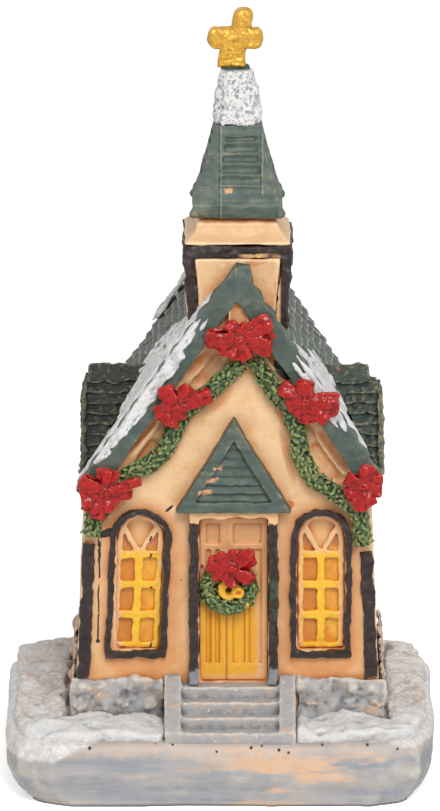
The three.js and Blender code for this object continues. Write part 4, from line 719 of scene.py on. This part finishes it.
# Porch gable, boards and spire: dark grey-green paint, green-black in the hollows as painted shade,
# and tan on every raised edge, partly rubbed paint and partly a painted highlight. A few spots of bare
# resin were missed by the brush: (x, z, size). Creases are (x, lowest, highest).
def board_paint(name, stretch, missed=(), gain=1.0, hollow_shade_tone=0.8, creases=()):
    coat = Finish(name, Roughness=0.5)
    streak = coat.noise(1.2, 4, 0.6, stretch)
    coat.ground(streak.step(0.3, 0.7), (58, 74, 68), (86, 98, 90))
    coat.lay(coat.noise(4, seed=2).step(0.45, 0.7) * 0.5, (72, 82, 74))
    # Green-black in the hollows and against neighbouring pieces: painted shade.
    coat.lay(coat.hollow_shade(gain).most(coat.nook_shade(1) * 0.6) * hollow_shade_tone, (34, 46, 42))
    rubbed = coat.noise(1.5, 4, 0.65, stretch, seed=8).step(0.52, 0.68)
    coat.lay(rubbed * 0.4, (128, 130, 104))
    # Tan on raised edges: partly rubbed paint and partly a painted highlight.
    coat.lay(coat.ridges(gain) * (0.12 + 0.6 * rubbed), (158, 152, 120))
    # Each crease: a dark line of painted shade with a pale line of painted highlight beside it.
    for x, low, high in creases:
        line = coat.z.step(low - 0.3, low) * coat.z.step(high + 0.3, high)
        lip = coat.x - x + 0.25 * (coat.noise(2, 2, seed=9) - 0.5)
        coat.lay(abs(lip).step(0.16, 0.04) * line * 0.7, (42, 54, 50))
        coat.lay(abs(lip - 0.26).step(0.14, 0.04) * line * 0.5, (150, 156, 140))
    for x, z, size in missed:
        gap = (abs(coat.x - x) * 0.5).most(abs(coat.z - z)) + 0.7 * (coat.noise(0.9, seed=3) - 0.5)
        coat.lay(gap.step(size, size * 0.6) * coat.y.step(-3, -5), (206, 158, 112))
    grain = streak + 0.5 * coat.noise(0.5)
    return coat.done(0.42 + 0.2 * coat.noise(1.5, 2, seed=5), grain, 0.1)


porch_gaps = [(-0.4, 46.4, 0.3), (-1.2, 44.6, 0.45), (-2, 42.9, 0.5)]
pediment = merged_copy("porch_pediment", "porch_gable")
move_side(pediment, 1, True, 0.5)
cast(pediment, 0.16, 3, (2.4, 0.35, "every way"), (0.9, 0.14))
seat(pediment, board_paint("porch_green", (0.3, 1, 1), porch_gaps), "green_paint", "porch_pediment")


# Main roof: split shingles laid in courses, each course lapping the one below it. They are cast with
# the roof, painted dark green with green-black painted shade between the courses, and rubbed with tan
# along their butts.
ridge = Vector((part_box("main_roof_left")[1].x, 0, 74.8 * mm))
eaves = {"left": Vector((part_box("main_roof_left")[0].x, 0, 43.2 * mm)),
         "right": Vector((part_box("main_roof_right")[1].x, 0, 44.7 * mm))}
roof_start, roof_end = [corner.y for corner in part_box("main_roof_left")]
shingle_course = 1.6


def slope(side):
    """One main slope: its run from ridge to eave, and its directions down and out."""
    run = eaves[side] - ridge
    down = run.normalized()
    sign = 1 if side == "right" else -1
    return run, down, Vector((-down.z * sign, 0, down.x * sign))


def shingle_paint(name, dark, light, edge):
    coat = Finish(name, Roughness=0.6)
    coat.ground(coat.noise(3, 4, 0.6), dark, light)
    # Green-black in the hollows and against neighbouring pieces: painted shade between the courses.
    coat.lay(coat.hollow_shade(1.3).most(coat.nook_shade(0.8) * 0.8) * 0.9, (20, 25, 23))
    coat.lay(coat.ridges(1.3) * coat.noise(1.2, seed=2).step(0.25, 0.55) * 0.9, edge)
    coat.lay(coat.noise(2.2, seed=4).step(0.68, 0.74) * 0.6, (170, 120, 84))
    return coat.done(None, coat.noise(0.7, 4, 0.65) + coat.noise(0.25, 2), 0.14)


def shingle():
    """One split shingle: a thin slab along X, thicker at its butt, with broken corners."""
    piece = new_part(bpy.ops.mesh.primitive_cube_add, size=1 * mm)
    scale(piece, lambda spot: True, (2.1, 1, 0.7))
    choose(piece, lambda spot: spot.x < 0 and spot.z > 0)
    shift(0, 0, -0.5)
    choose(piece, lambda spot: True)
    bpy.ops.mesh.bevel(offset=0.07 * mm, segments=1)
    bpy.ops.object.mode_set(mode="OBJECT")
    return piece


def copies(source, places):
    """Copies of a modelled part, each with its own mesh, put at the given places."""
    made = []
    for place in places:
        part = bpy.data.objects.new(source.name, source.data.copy())
        part.data.transform(place)
        scene.collection.objects.link(part)
        made.append(part)
    bpy.data.objects.remove(source)
    return made


def basis(origin, along, across, out):
    """Placement that turns X, Y and Z to three directions at an origin."""
    return Matrix.Translation(origin) @ Matrix((along, across, out)).transposed().to_4x4()


def shingle_places(side, seed):
    """Places for courses down a slope; each shingle differs a little in width, height and tilt."""
    chance = random.Random(seed)
    run, down, out = slope(side)
    across = out.cross(down)
    rows = round(run.length / (shingle_course * mm))
    course = run.length / rows
    places = []
    for row in range(rows):
        at = roof_start - chance.random() * 1.2 * mm
        while at < roof_end:
            width = chance.uniform(1.3, 2.2) * mm
            centre = min(max(at + width / 2, roof_start + width / 2), roof_end - width / 2)
            slide = (row + 0.5) * course + chance.uniform(-0.12, 0.12) * mm
            lift = chance.uniform(-0.12, 0.2) * mm
            spot = ridge - out * 0.33 * mm + down * slide + out * lift
            spot += across * (centre if across.y > 0 else -centre)
            turn = Matrix.Rotation(chance.uniform(-0.05, 0.05), 4, "Z")
            size = Matrix.Diagonal((1, (width - 0.24 * mm) / mm, 1, 1))
            places.append(basis(spot, down, across, out) @ turn @ size)
            at += width
    return places


roof_green = shingle_paint("main_shingles", (68, 78, 73), (104, 112, 106), (184, 180, 166))
for seed, side in enumerate(("left", "right")):
    core = merged_copy(f"main_roof_{side}", "roof_core")
    core.data.transform(Matrix.Translation(-slope(side)[2] * 0.3 * mm))
    roof = gather([core, *copies(shingle(), shingle_places(side, seed))], f"shingled_roof_{side}")
    melt(roof, 0.17, 0)
    uneven(roof, 0.8, 0.14)
    finish_with(roof, "DECIMATE", ratio=0.55)
    mark_relief(roof)
    seat(roof, roof_green, "shingle_paint", f"main_roof_{side}")


# Cross roofs: heavier shingles in thick, swollen courses, which a raised verge closes at the gable.
# They are cast with the walls; the left ones are painted nearly black and the right ones lighter, as
# painted shade and painted light.
for side, dark, light, edge in (("left", (16, 23, 17), (40, 48, 38), (104, 98, 74)),
                                ("right", (34, 43, 37), (74, 86, 76), (136, 126, 98))):
    # Darker paint on the left pair and lighter on the right: painted shade and painted light.
    cross_green = shingle_paint(f"cross_shingles_{side}", dark, light, edge)
    for end in ("front", "rear"):
        node = f"cross_roof_{side}_{end}"
        roof = merged_copy(node, f"swollen_{node}")
        cast(roof, 0.16, 2, (2.2, 0.8, "every way"), (0.9, 0.4))
        seat(roof, cross_green, "shingle_paint", node)


# Bargeboards: wide boards along the front gable with a scalloped upper edge, in the same green. A
# plate with a nub on it covers the joint where they meet at the peak.
board_green = board_paint("board_green", (0.5, 1, 0.5))
for side in ("left", "right"):
    board = merged_copy(f"bargeboard_{side}", f"scalloped_board_{side}")
    if side == "right":
        nub = new_part(bpy.ops.mesh.primitive_cube_add, size=1.7 * mm)
        nub.data.transform(Matrix.Translation(Vector((3.3, -15.1, 74.4)) * mm))
        choose(nub, lambda spot: spot.z < 74.4)
        bpy.ops.transform.resize(value=(1.5, 1, 1))
        shift(0, 0, -0.6)
        plate = new_part(bpy.ops.mesh.primitive_cone_add, vertices=3, radius1=3.1 * mm,
                         radius2=3.1 * mm, depth=2 * mm, rotation=(math.pi / 2, 0, 0))
        plate.data.transform(Matrix.Translation(Vector((2.4, -15.15, 71.6)) * mm)
                             @ Matrix.Diagonal((0.8, 1, 1.1, 1)))
        board = gather([board, nub, plate], f"scalloped_board_{side}")
    cast(board, 0.18, 3, (2.4, 0.4, "every way"), (0.9, 0.12))
    seat(board, board_green, "green_paint", f"bargeboard_{side}")


# Tower: a square shaft of bare resin with a dark band and posts, and a neck that draws in towards
# its top, where it carries the spire. The shaft narrows towards its foot.
tower_middle, taper_height, taper, neck_share = 2.4, 70, 0.8, 0.76
skin = resin("tower_resin")
# Stains on its front: middle (x, z), half length, half height, slope in degrees and colour.
for x, z, wide, high, degrees, tint in ((8.0, 68.5, 6.5, 0.75, 86, (190, 112, 58)),
                                        (5.2, 75, 1.6, 0.8, 20, (212, 138, 80)),
                                        (-2.2, 64.8, 2, 1.2, 30, (176, 108, 66)),
                                        (0.4, 74.3, 0.3, 0.3, 0, (252, 230, 196))):
    gap = oval_marks(skin, x, z, degrees, wide, high)[0] + 1.1 * (skin.noise(1.2, seed=15) - 0.5)
    skin.lay(gap.step(1.4, 0.5) * 0.85, tint)
skin.lay(skin.z.step(77, 78) * 0.55, (224, 180, 128))
skin.lay(skin.noise(5, seed=17).step(0.2, 0.6) * 0.35, (206, 158, 112))
tower_resin = shaded_and_worn(skin, 1.3)


def taper_down(part):
    """Draws the foot of the tower in on both sides."""
    for sign in (1, -1):
        choose(part, lambda spot: spot.z < taper_height and sign * (tower_middle - spot.x) > 0)
        shift(sign * taper, 0, 0)


shaft = merged_copy("tower_box", "tower_shaft")
taper_down(shaft)
neck = merged_copy("tower_neck", "flared_neck")
neck_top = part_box("tower_neck")[1].z / mm
scale(neck, lambda spot: spot.z > neck_top - 0.4, (neck_share, neck_share, 1))
for part, node in ((shaft, "tower_box"), (neck, "tower_neck")):
    cast(part, 0.24, 3, (4, 0.45))
    seat(part, tower_resin, "peach_resin", node)

band_touches = [
    (lambda brush: (brush.z + 0.8 * (brush.noise(1.2, seed=6) - 0.5)).step(76, 75.8)
     * brush.x.step(2.2, 3.6) * brush.x.step(8.5, 8.1) * brush.y.step(-11.6, -12), (232, 184, 134)),
    (lambda brush: brush.noise(1.1, 3, 0.6, (0.3, 1, 1), seed=9).step(0.56, 0.68)
     * brush.z.step(75.5, 76.5) * 0.5, (118, 104, 104))]
tower_band = merged_copy("tower_frame", "tower_dark_band")
taper_down(tower_band)
cast(tower_band, 0.18, 3, (2.8, 1.2, "every way"), (1.2, 0.4, "inwards"))
seat(tower_band, dark_line("band_brush_line", band_touches), "dark_paint", "tower_frame")


# Spire: a tapering cap with a louvred panel in each face, a rolled lip and a knob at each corner.
# It is cast with the tower, and its green paint is dragged upwards.
spire_lip_top, spire_face, spire_slope = 83.1, -10.3, 0.262


def louvre_floor(spot):
    """The floor of the pockets between the louvres of the front face."""
    depth = spot.y - spire_face - spire_slope * (spot.z - spire_lip_top)
    return -0.4 < spot.x < 6.2 and spot.z > spire_lip_top + 0.8 and 0.5 < depth < 1.5


spire = merged_copy("spire", "louvred_spire")
choose(spire, louvre_floor)
shift(0, -0.5, 0)
cast(spire, 0.16, 2, (2.6, 0.4, "every way"), (0.9, 0.1))
spire_green = board_paint("spire_green", (0.3, 0.3, 1), [(1.2, 84.3, 0.35)], 1.4, 0.35,
                          [(-0.1, 80.7, 92.8), (5.6, 84, 92.8)])
seat(spire, spire_green, "green_paint", "spire")


# Cap of snow: gritty white paint stippled thickly over the top of the spire. A green collar is left
# bare round the foot of the cross.
cap = merged_copy("spire_snow", "stippled_cap")
for height, share in ((98, 0.93), (100.5, 0.9)):
    choose(cap, lambda spot: spot.z > height)
    bpy.ops.transform.resize(value=(share, share, 1))
    shift(-0.15, 0, -0.1)
cast(cap, 0.16, 2, (1.8, 0.7), (0.55, 0.5))
cap_white = snow_coat("cap_snow", 1.1, pitted=1, pit_shade=(112, 120, 120), collar=(100.3, 100.7))
seat(cap, cap_white, "snow_paint", "spire_snow")


# Cross: a stubby cast cross that leans a little, on the tip of the spire. Its bright gold paint is
# lighter along the edges, and darker in its hollows and pits as painted shade.
gold = Finish("gold_paint", Roughness=0.3, Metallic=0.55)
gold.ground(gold.noise(1, 3, 0.6), (228, 178, 72), (198, 144, 50))
shaded_pits = gold.noise(0.5, 3, 0.6, seed=5).step(0.46, 0.34)
# Darker gold in the hollows and pits: painted shade.
gold.lay(gold.hollow_shade(1.2).most(shaded_pits) * 0.6, (142, 92, 34))
gold.lay(gold.ridges(0.7) * gold.noise(0.8, seed=2).step(0.35, 0.6) * 0.5, (250, 214, 120))
hammered = gold.cells(0.55) + gold.noise(0.5)
gold_paint = gold.done(0.26 + 0.2 * gold.noise(0.8, 2, seed=3), hammered, 0.12)

arms_top, stem_foot, stem_middle = 106.8, 102, 2
cross = merged_copy("cross", "gold_cross")
choose(cross, lambda spot: True)
shift(-0.3, 0, -0.4)
choose(cross, lambda spot: spot.z > arms_top)
shift(0.45, 0, -0.15)
choose(cross, lambda spot: spot.z < stem_foot and spot.x > stem_middle)
shift(-0.3, 0, 0)
cast(cross, 0.14, 3, (1.6, 0.4, "every way"), (0.7, 0.16))
seat(cross, gold_paint, "gold_paint", "cross")


# Snow on the roofs: white paint dragged along the slopes in short strokes behind the gable boards,
# and along the rear verge on the left. It reaches furthest back halfway down, thin and ragged.
def stroke():
    """One dab of thick paint along +X, blunt at its head and drawn out thin at its tail."""
    piece = new_part(bpy.ops.mesh.primitive_ico_sphere_add, subdivisions=2, radius=0.5 * mm)
    scale(piece, lambda spot: spot.x > 0.1, (1.6, 0.55, 0.7))
    return piece


# Where the snow reaches back to: (share of the slope from the ridge, place along Y in millimetres).
snow_reach = {"left": [(0.17, -12), (0.28, -8), (0.38, -2), (0.5, 2.5), (0.58, 0), (0.68, -7),
                       (0.8, -12), (0.96, -13.4)],
              "right": [(0.4, -13.4), (0.47, -10), (0.54, -3), (0.6, 0), (0.68, -5), (0.8, -12.5)]}
# Dabs on the slope, dabs over the board, and the shares of the slope between which they lie.
snow_dabs = {"left": (330, 150, 0.2, 0.93), "right": (120, 60, 0.44, 0.78)}
board_front, board_back = -16.25, -13.7
# The valley of the cross roof: the share where it begins, its place there, and its fall forward.
valley_share, valley_back, valley_fall = 0.53, 0.4, 29


def reach_at(side, share):
    stops = snow_reach[side]
    for (start, back), (end, next_back) in zip(stops, stops[1:]):
        if share <= end:
            return back + (next_back - back) * (share - start) / (end - start)
    return stops[-1][1]


roof_white = snow_coat("brushed_snow", 1.1, pitted=0.6, drag=(0.22, 1.3, 0.22))
for seed, side in enumerate(("left", "right"), 20):
    chance = random.Random(seed)
    run, down, out = slope(side)
    on_slope, over_board, upper, lower = snow_dabs[side]
    first, last = snow_reach[side][0][0], snow_reach[side][-1][0]
    spots = [(chance.uniform(first, last), None) for _ in range(on_slope)]
    if side == "left":
        spots += [(chance.uniform(0.1, 0.5), chance.uniform(17.6, 19.4)) for _ in range(60)]
        spots += [(chance.uniform(0.12, 0.3), chance.uniform(15.5, 18)) for _ in range(14)]
    middle = (upper + lower) / 2
    spots += [(chance.triangular(upper, lower, middle), "board") for _ in range(over_board)]
    places = []
    for share, place in spots:
        sunk = chance.uniform(0.15, 0.6)
        if place == "board":
            place, sunk = board_front, 0.5 - 1.7 * chance.random() ** 2 * (1 - abs(share - 0.5))
        elif place is None:
            place = board_back + (reach_at(side, share) - board_back) * chance.random() ** 1.3
            if share > valley_share:
                place = min(place, valley_back - (share - valley_share) * valley_fall)
        spot = ridge + run * share + out * sunk * mm
        spot.y = place * mm
        heading = (down + Vector((0, chance.uniform(-0.3, 0.3), 0))).normalized()
        if chance.random() < 0.5:
            heading = -heading
        length, width = chance.uniform(1.4, 3.6), chance.uniform(0.4, 0.95)
        size = Matrix.Diagonal((length, width, chance.uniform(0.5, 0.8), 1))
        places.append(basis(spot, heading, out.cross(heading), out) @ size)
    snow = merged_copy(f"roof_snow_{side}", "roof_snow_core")
    snow = gather([snow, *copies(stroke(), places)], f"brushed_snow_{side}")
    cast(snow, 0.15, 1, (0.7, 0.2))
    seat(snow, roof_white, "snow_paint", f"roof_snow_{side}")


# Garlands and wreath: small-leaved evergreen, cast as a dense mass of leaves. The hollows are
# painted green-black as painted shade, and the leaf tips are yellow-green, partly brushed paint and
# partly a painted highlight.
fir = Finish("evergreen_paint", Roughness=0.42)
fir.ground(fir.noise(1.3, 3, 0.6), (34, 64, 30), (68, 95, 48))
fir.lay(fir.noise(4, seed=6).step(0.46, 0.6) * 0.6, (122, 132, 72))
fir.lay(fir.noise(1.8, seed=8).step(0.6, 0.68) * 0.7, (150, 106, 62))
# Green-black in the hollows between leaves and against neighbouring pieces: painted shade.
fir.lay(fir.hollow_shade(1.5).most(fir.nook_shade(0.6)) * 0.92, (14, 24, 10))
# Yellow-green on the leaf tips: partly brushed paint and partly a painted highlight.
fir.lay(fir.ridges(1.5) * fir.noise(0.9, seed=2).step(0.25, 0.6) * 0.85, (148, 158, 96))
fir_green = fir.done(0.34 + 0.2 * fir.noise(0.8, 2, seed=3), fir.noise(0.25, 2), 0.05)


def leaf():
    """One small leaf along +X: a pointed oval, keeled along its middle."""
    piece = new_part(bpy.ops.mesh.primitive_circle_add, vertices=8, radius=0.5 * mm,
                     fill_type="TRIFAN")
    scale(piece, lambda spot: abs(spot.x) < 0.45, (1, 0.55, 1))
    choose(piece, lambda spot: abs(spot.y) < 0.05 and abs(spot.x) < 0.3)
    shift(0, 0, 0.14)
    finish_with(piece, "SOLIDIFY", thickness=0.2 * mm, offset=0)
    return piece


def leafy(node, route, radius, per_mm, seed):
    """A core that follows a route of (x, z) points, with leaves all round it, run together."""
    chance = random.Random(seed)
    core = merged_copy(node, node)
    points = [Vector((x, 0, z)) * mm for x, z in route]
    depth = (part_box(node)[0].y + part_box(node)[1].y) / 2
    forward = Vector((0, -1, 0))
    places = []
    for start, end in zip(points, points[1:]):
        run = end - start
        along = run.normalized()
        side = along.cross(forward)
        for _ in range(max(1, round(run.length / mm * per_mm))):
            turn = chance.uniform(-1.9, 1.9)
            outward = (forward * math.cos(turn) + side * math.sin(turn)).normalized()
            spot = start + run * chance.random() + outward * radius * chance.uniform(0.75, 1.05) * mm
            spot.y += depth
            heading = along * chance.choice((-1, 1)) * chance.uniform(0.3, 1)
            heading += outward * chance.uniform(0, 0.7)
            heading = (heading + side * chance.uniform(-0.8, 0.8)).normalized()
            across = outward.cross(heading).normalized()
            size = Matrix.Diagonal((chance.uniform(0.7, 1.3), chance.uniform(0.6, 1), 1, 1))
            places.append(basis(spot, heading, across, heading.cross(across)) @ size)
    return gather([core, *copies(leaf(), places)], f"leafy_{node}")


garland_routes = {
    "left": [(3.9, 62.1), (1.2, 59.8), (-1.3, 57.4), (-4.9, 54.5), (-6.3, 51.6), (-7.4, 49.2),
             (-9.4, 47), (-12.4, 45.6), (-15.3, 42), (-17.2, 39.4), (-18, 36.6)],
    "right": [(4.9, 62), (6.4, 59.2), (8, 56.7), (9.9, 54.2), (10.8, 51.3), (11.1, 48),
              (12.3, 45.4), (14.5, 43.5), (17, 42.2), (18.9, 40), (19.8, 37.2), (19.9, 35)]}
for seed, (side, route) in enumerate(garland_routes.items(), 40):
    greens = leafy(f"garland_{side}", route, 1.2, 14, seed)
    cast(greens, 0.125, 0)
    seat(greens, fir_green, "fir_paint", f"garland_{side}")

wreath_middle = (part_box("wreath")[0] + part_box("wreath")[1]) / 2
wreath_radius, wreath_sides = 3.05, 16
wreath_route = []
for step in range(wreath_sides):
    angle = math.tau * step / wreath_sides
    wreath_route.append((wreath_middle.x / mm + wreath_radius * math.cos(angle),
                         wreath_middle.z / mm + wreath_radius * 0.92 * math.sin(angle)))
wreath_route.append(wreath_route[0])
ring = leafy("wreath", wreath_route, 1.0, 15, 50)
cast(ring, 0.11, 0)
seat(ring, fir_green, "fir_paint", "wreath")


# Wreath ornaments: little cast rings painted yellow. A small one lies inside a larger one in the
# mouth of the wreath, and another on the wreath's lower right.
yellow = Finish("ring_yellow", Roughness=0.3)
yellow.ground(yellow.noise(0.8), (246, 200, 60), (228, 160, 40))
# Orange-brown in the hollows: painted shade.
yellow.lay(yellow.hollow_shade(1.2) * 0.9, (196, 96, 24))
ring_yellow = yellow.done(None, yellow.noise(0.4, 2), 0.05)

rings = []
for x, y, z, size in ((1.2, -14.6, 28.6, 1.5), (2.5, -15, 28.3, 0.9), (3.4, -15, 26.5, 0.62)):
    part = new_part(bpy.ops.mesh.primitive_torus_add, major_segments=20, minor_segments=8,
                    major_radius=size * 0.66 * mm, minor_radius=size * 0.4 * mm,
                    rotation=(math.pi / 2, 0, 0))
    part.data.transform(Matrix.Translation(Vector((x, y, z)) * mm))
    rings.append(part)
ornament = gather(rings, "wreath_rings")
cast(ornament, 0.1, 2, (0.8, 0.3, "every way"))
seat(ornament, ring_yellow, "yellow_paint")


# Bows: gathered ribbon, cast as crumpled loops and folds that spread from a knot. The red is glossy,
# with painted shade dark in the folds and a painted pink highlight along the pleats.
red = Finish("bow_red", Roughness=0.24, Specular_IOR_Level=0.28, Coat_Weight=0.15,
             Coat_Roughness=0.08)
red.ground(red.noise(1.4), (148, 8, 8), (188, 26, 17))
red.lay(red.noise(1.8, seed=2).step(0.55, 0.72) * 0.45, (146, 40, 30))
red.lay(red.noise(1.2, seed=4).step(0.52, 0.68) * 0.75, (112, 4, 8))
# Dark red in the folds and against neighbouring pieces: painted shade.
red.lay(red.hollow_shade(1.6).most(red.nook_shade(1)) * 0.9, (66, 2, 5))
# Pink on the pleats: a painted highlight.
red.lay(red.ridges(1) * red.noise(0.8, seed=5).step(0.35, 0.6) * 0.5, (222, 84, 66))
bow_red = red.done(0.18 + 0.15 * red.noise(1, 2, seed=3), red.noise(0.8, 2), 0.04)


def fold(length, narrow, wide, flutes, dent):
    """One gathered fold, wide end down: fluted round its sides, and dented or domed at that end."""
    piece = new_part(bpy.ops.mesh.primitive_cone_add, vertices=4 * flutes, radius1=wide / 2 * mm,
                     radius2=narrow / 2 * mm, depth=length * mm)
    scale(piece, lambda spot: spot.z < 0 and math.cos(math.atan2(spot.y, spot.x) * flutes) < -0.1,
          (0.62, 0.62, 1))
    choose(piece, lambda spot: spot.z < 0)
    bpy.ops.mesh.inset(thickness=0.17 * wide * mm)
    shift(0, 0, dent)
    finish_with(piece, "SUBSURF", levels=2, render_levels=2)
    return piece


def loop(length, wide):
    """One loop of ribbon: a flattened band that turns round a hollow."""
    piece = new_part(bpy.ops.mesh.primitive_torus_add, major_segments=20, minor_segments=8,
                     major_radius=0.34 * length * mm, minor_radius=0.13 * length * mm)
    scale(piece, lambda spot: True, (1.1, 0.62, 0.42 * wide / (0.13 * length)))
    return piece


# Each bow: its knot (x, z) and its parts as (kind, direction in degrees, length, width, pleats).
bow_parts = {
    "bow_top": (2.7, 65.3, [
        ("loop", 180, 4.6, 3.3, 0), ("fold", 24, 4.9, 4, 4), ("fold", -14, 4.6, 3, 3),
        ("fold", 126, 2.8, 2.4, 3), ("fold", 62, 2.6, 2, 2), ("fold", 208, 3.4, 2.2, 2),
        ("tail", 240, 3.3, 1.9, 3), ("tail", 266, 3.3, 1.7, 2), ("tail", 293, 3.6, 2, 3)]),
    "bow_upper_left": (-6.2, 55.7, [
        ("loop", 118, 3.2, 3, 0), ("fold", 18, 5.4, 2.3, 3), ("fold", 52, 3.6, 2.6, 3),
        ("fold", 205, 3.1, 2.4, 3), ("tail", 236, 3.4, 2.1, 2), ("tail", 265, 3.6, 1.6, 2),
        ("tail", 300, 2.5, 1.7, 3)]),
    "bow_upper_right": (11.8, 56.4, [
        ("loop", 92, 3, 2.8, 0), ("fold", 152, 4.1, 2.6, 3), ("fold", -6, 4.7, 3.4, 4),
        ("fold", -40, 4.1, 2.4, 3), ("fold", 198, 2.8, 2, 2), ("tail", 240, 3, 1.6, 2),
        ("tail", 268, 3.6, 1.7, 3), ("tail", 300, 3.8, 1.9, 2)]),
    "bow_lower_left": (-16.2, 43.3, [
        ("loop", 152, 3.7, 3.4, 0), ("fold", 74, 3.4, 3.2, 4), ("fold", 6, 4.2, 2.5, 3),
        ("fold", 20, 5.7, 1.4, 2), ("fold", 200, 3.2, 2.6, 3), ("tail", 232, 3.9, 2.5, 3),
        ("tail", 258, 4.4, 2.2, 3), ("tail", 288, 3.2, 1.9, 3), ("fold", 322, 2.4, 1.9, 2)]),
    "bow_lower_right": (19.7, 44.3, [
        ("loop", 150, 2.7, 2.6, 0), ("fold", 76, 3, 2.4, 3), ("fold", 24, 2.9, 2, 2),
        ("fold", -14, 2.7, 1.9, 2), ("fold", 208, 2.7, 2, 3), ("tail", 242, 3.3, 1.8, 2),
        ("tail", 268, 3.9, 1.9, 3), ("tail", 298, 3.6, 1.8, 2)]),
    "wreath_bow": (1.7, 32.3, [
        ("fold", 170, 3.5, 2.7, 3), ("fold", 205, 3.2, 2, 2), ("fold", 136, 2.8, 1.8, 2),
        ("fold", 32, 3.6, 2.9, 4), ("fold", 82, 2.4, 2.4, 3), ("loop", -32, 3.4, 2.6, 0),
        ("tail", 238, 3, 1.6, 2), ("tail", 266, 3.3, 2.3, 3)])}
inward = Vector((0, 1, 0))
for node, (knot_x, knot_z, parts) in bow_parts.items():
    low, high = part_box(node)
    knot = Vector((knot_x * mm, (low.y + high.y) / 2, knot_z * mm))
    thick = (high.y - low.y) / mm
    chance = random.Random(node)
    folds = [fold(1.7, 1.5, 1.2, 3, 0.3), fold(thick * 0.8, 5, 4.2, 4, -0.2)]
    for part, depth in zip(folds, (-0.2, 0.25)):
        part.data.transform(basis(knot + Vector((0, depth * mm, 0)), Vector((1, 0, 0)),
                                  Vector((0, 0, -0.8)), inward))
    for kind, degrees, length, wide, pleats in parts:
        angle = math.radians(degrees)
        pitch = chance.uniform(-0.12, 0.2)
        heading = Vector((math.cos(angle), -pitch, math.sin(angle))).normalized()
        across = heading.cross(inward).normalized()
        if kind == "loop":
            part = loop(length, wide)
            tilt = (-across if across.z < 0 else across) * 0.8 + Vector((0, -0.15, 0))
            tilt = (tilt - heading * tilt.dot(heading)).normalized()
            middle = knot + heading * length * 0.55 * mm
            part.data.transform(basis(middle, heading, tilt.cross(heading), tilt))
        else:
            wide, length = wide * 1.2, length * 0.95
            part = fold(length, 0.45 * wide + 0.4, wide, pleats, 0.45 if kind == "tail" else -0.25)
            front = (inward - heading * heading.y) * min(1, thick * 0.95 / wide)
            part.data.transform(basis(knot + heading * length * 0.5 * mm, -across, front, -heading))
        folds.append(part)
    bow = gather(folds, f"ribbon_{node}")
    cast(bow, 0.11, 2, (1.8, 0.8, "every way"))
    seat(bow, bow_red, "red_gloss", node)


# Light unit: a white moulded battery box let into the underside, with a cover, a small screw, a black
# switch knob, three button cells between their contacts, and a lamp on short leads above them.
def plastic(name, light, dark, rough):
    skin = Finish(name, Roughness=rough)
    skin.ground(skin.noise(6), light, dark)
    return skin.done(rough + 0.12 * skin.noise(1.5, 2, seed=2), skin.noise(0.22, 2, 0.7), 0.015)


lens = Finish("lamp_lens", Roughness=0.12, Transmission_Weight=0.6, IOR=1.5)
lens.ground(lens.noise(1.5, 2), (246, 238, 214), (236, 222, 186))
metal = Finish("bright_steel", Roughness=0.3, Metallic=1.0)
scratches = metal.noise(0.5, 3, 0.6, (0.15, 1, 1))
metal.ground(scratches, (198, 198, 196), (170, 170, 170))
steel = ("steel", metal.done(0.24 + 0.2 * scratches, scratches, 0.01))
white = ("white_plastic", plastic("white_moulding", (232, 232, 226), (222, 222, 214), 0.4))
black = ("black_plastic", plastic("black_moulding", (30, 30, 32), (40, 40, 42), 0.36))
black_lead = ("black_insulation", plastic("black_lead", (28, 28, 30), (36, 36, 38), 0.42))
red_lead = ("red_insulation", plastic("red_lead", (186, 34, 30), (170, 28, 26), 0.42))
# Each piece: its body, its slot and material, and the width of its bevelled edges.
unit_pieces = {
    "battery_holder": ("house", white, 0.15),
    "battery_cover": ("cover", white, 0.12),
    "cover_screw": ("screw", steel, 0.08),
    "switch_knob": ("knob", black, 0.1),
    "switch_body": ("house", steel, 0.1),
    "button_cell_1": ("house", steel, 0.1),
    "button_cell_2": ("house", steel, 0.1),
    "button_cell_3": ("house", steel, 0.1),
    "spring_contact": ("house", steel, 0.05),
    "plate_contact": ("house", steel, 0.05),
    "led": ("house", ("lamp_lens", lens.done()), 0.05),
    "wire_black": ("house", black_lead, 0.02),
    "wire_red": ("house", red_lead, 0.02)}
for node, (body, (slot, material), edge) in unit_pieces.items():
    part = merged_copy(node, f"moulded_{node}")
    finish_with(part, "BEVEL", width=edge * mm, segments=2, limit_method="ANGLE",
                angle_limit=math.radians(40))
    pick(part)
    bpy.ops.object.shade_smooth_by_angle(angle=math.radians(35))
    seat(part, material, slot, node, body=body)


# Floor: a plain white sheet, which keeps a faint shadow of the slab. Its back is clear and it is open
# below the slab, so that the underside can be looked at and light falls on it.
opening_x, opening_y, corner_radius, spread = 19, 14.3, 6.5, 80
floor = new_part(bpy.ops.mesh.primitive_circle_add, vertices=48, radius=corner_radius * mm)
floor.name = "floor"
for sign in (1, -1):
    choose(floor, lambda spot: sign * spot.x > 0.01)
    shift(sign * opening_x, 0, 0)
    choose(floor, lambda spot: sign * spot.y > 0.01)
    shift(0, sign * opening_y, 0)
choose(floor, lambda spot: True)
bpy.ops.mesh.extrude_region_move()
bpy.ops.transform.resize(value=(spread, spread, 1), center_override=(0, 0, 0))
bpy.ops.object.mode_set(mode="OBJECT")
sheet = Finish("floor_white", Roughness=0.9, Emission_Strength=1.0)
sheet.ground(sheet.noise(40, 2), (250, 250, 250), (253, 253, 253))
levels = {0: sheet.node("ShaderNodeLightPath")[0], 6: (0, 0, 0, 1), 7: (0.48, 0.48, 0.48, 1)}
glow = sheet.node("ShaderNodeMix", {"data_type": "RGBA"}, levels)[2]
feed(sheet.tree, sheet.shader.inputs["Emission Color"], glow)
feed(sheet.tree, sheet.shader.inputs["Alpha"], 1 - sheet.node("ShaderNodeNewGeometry")[6])
floor.data.materials.append(sheet.done())
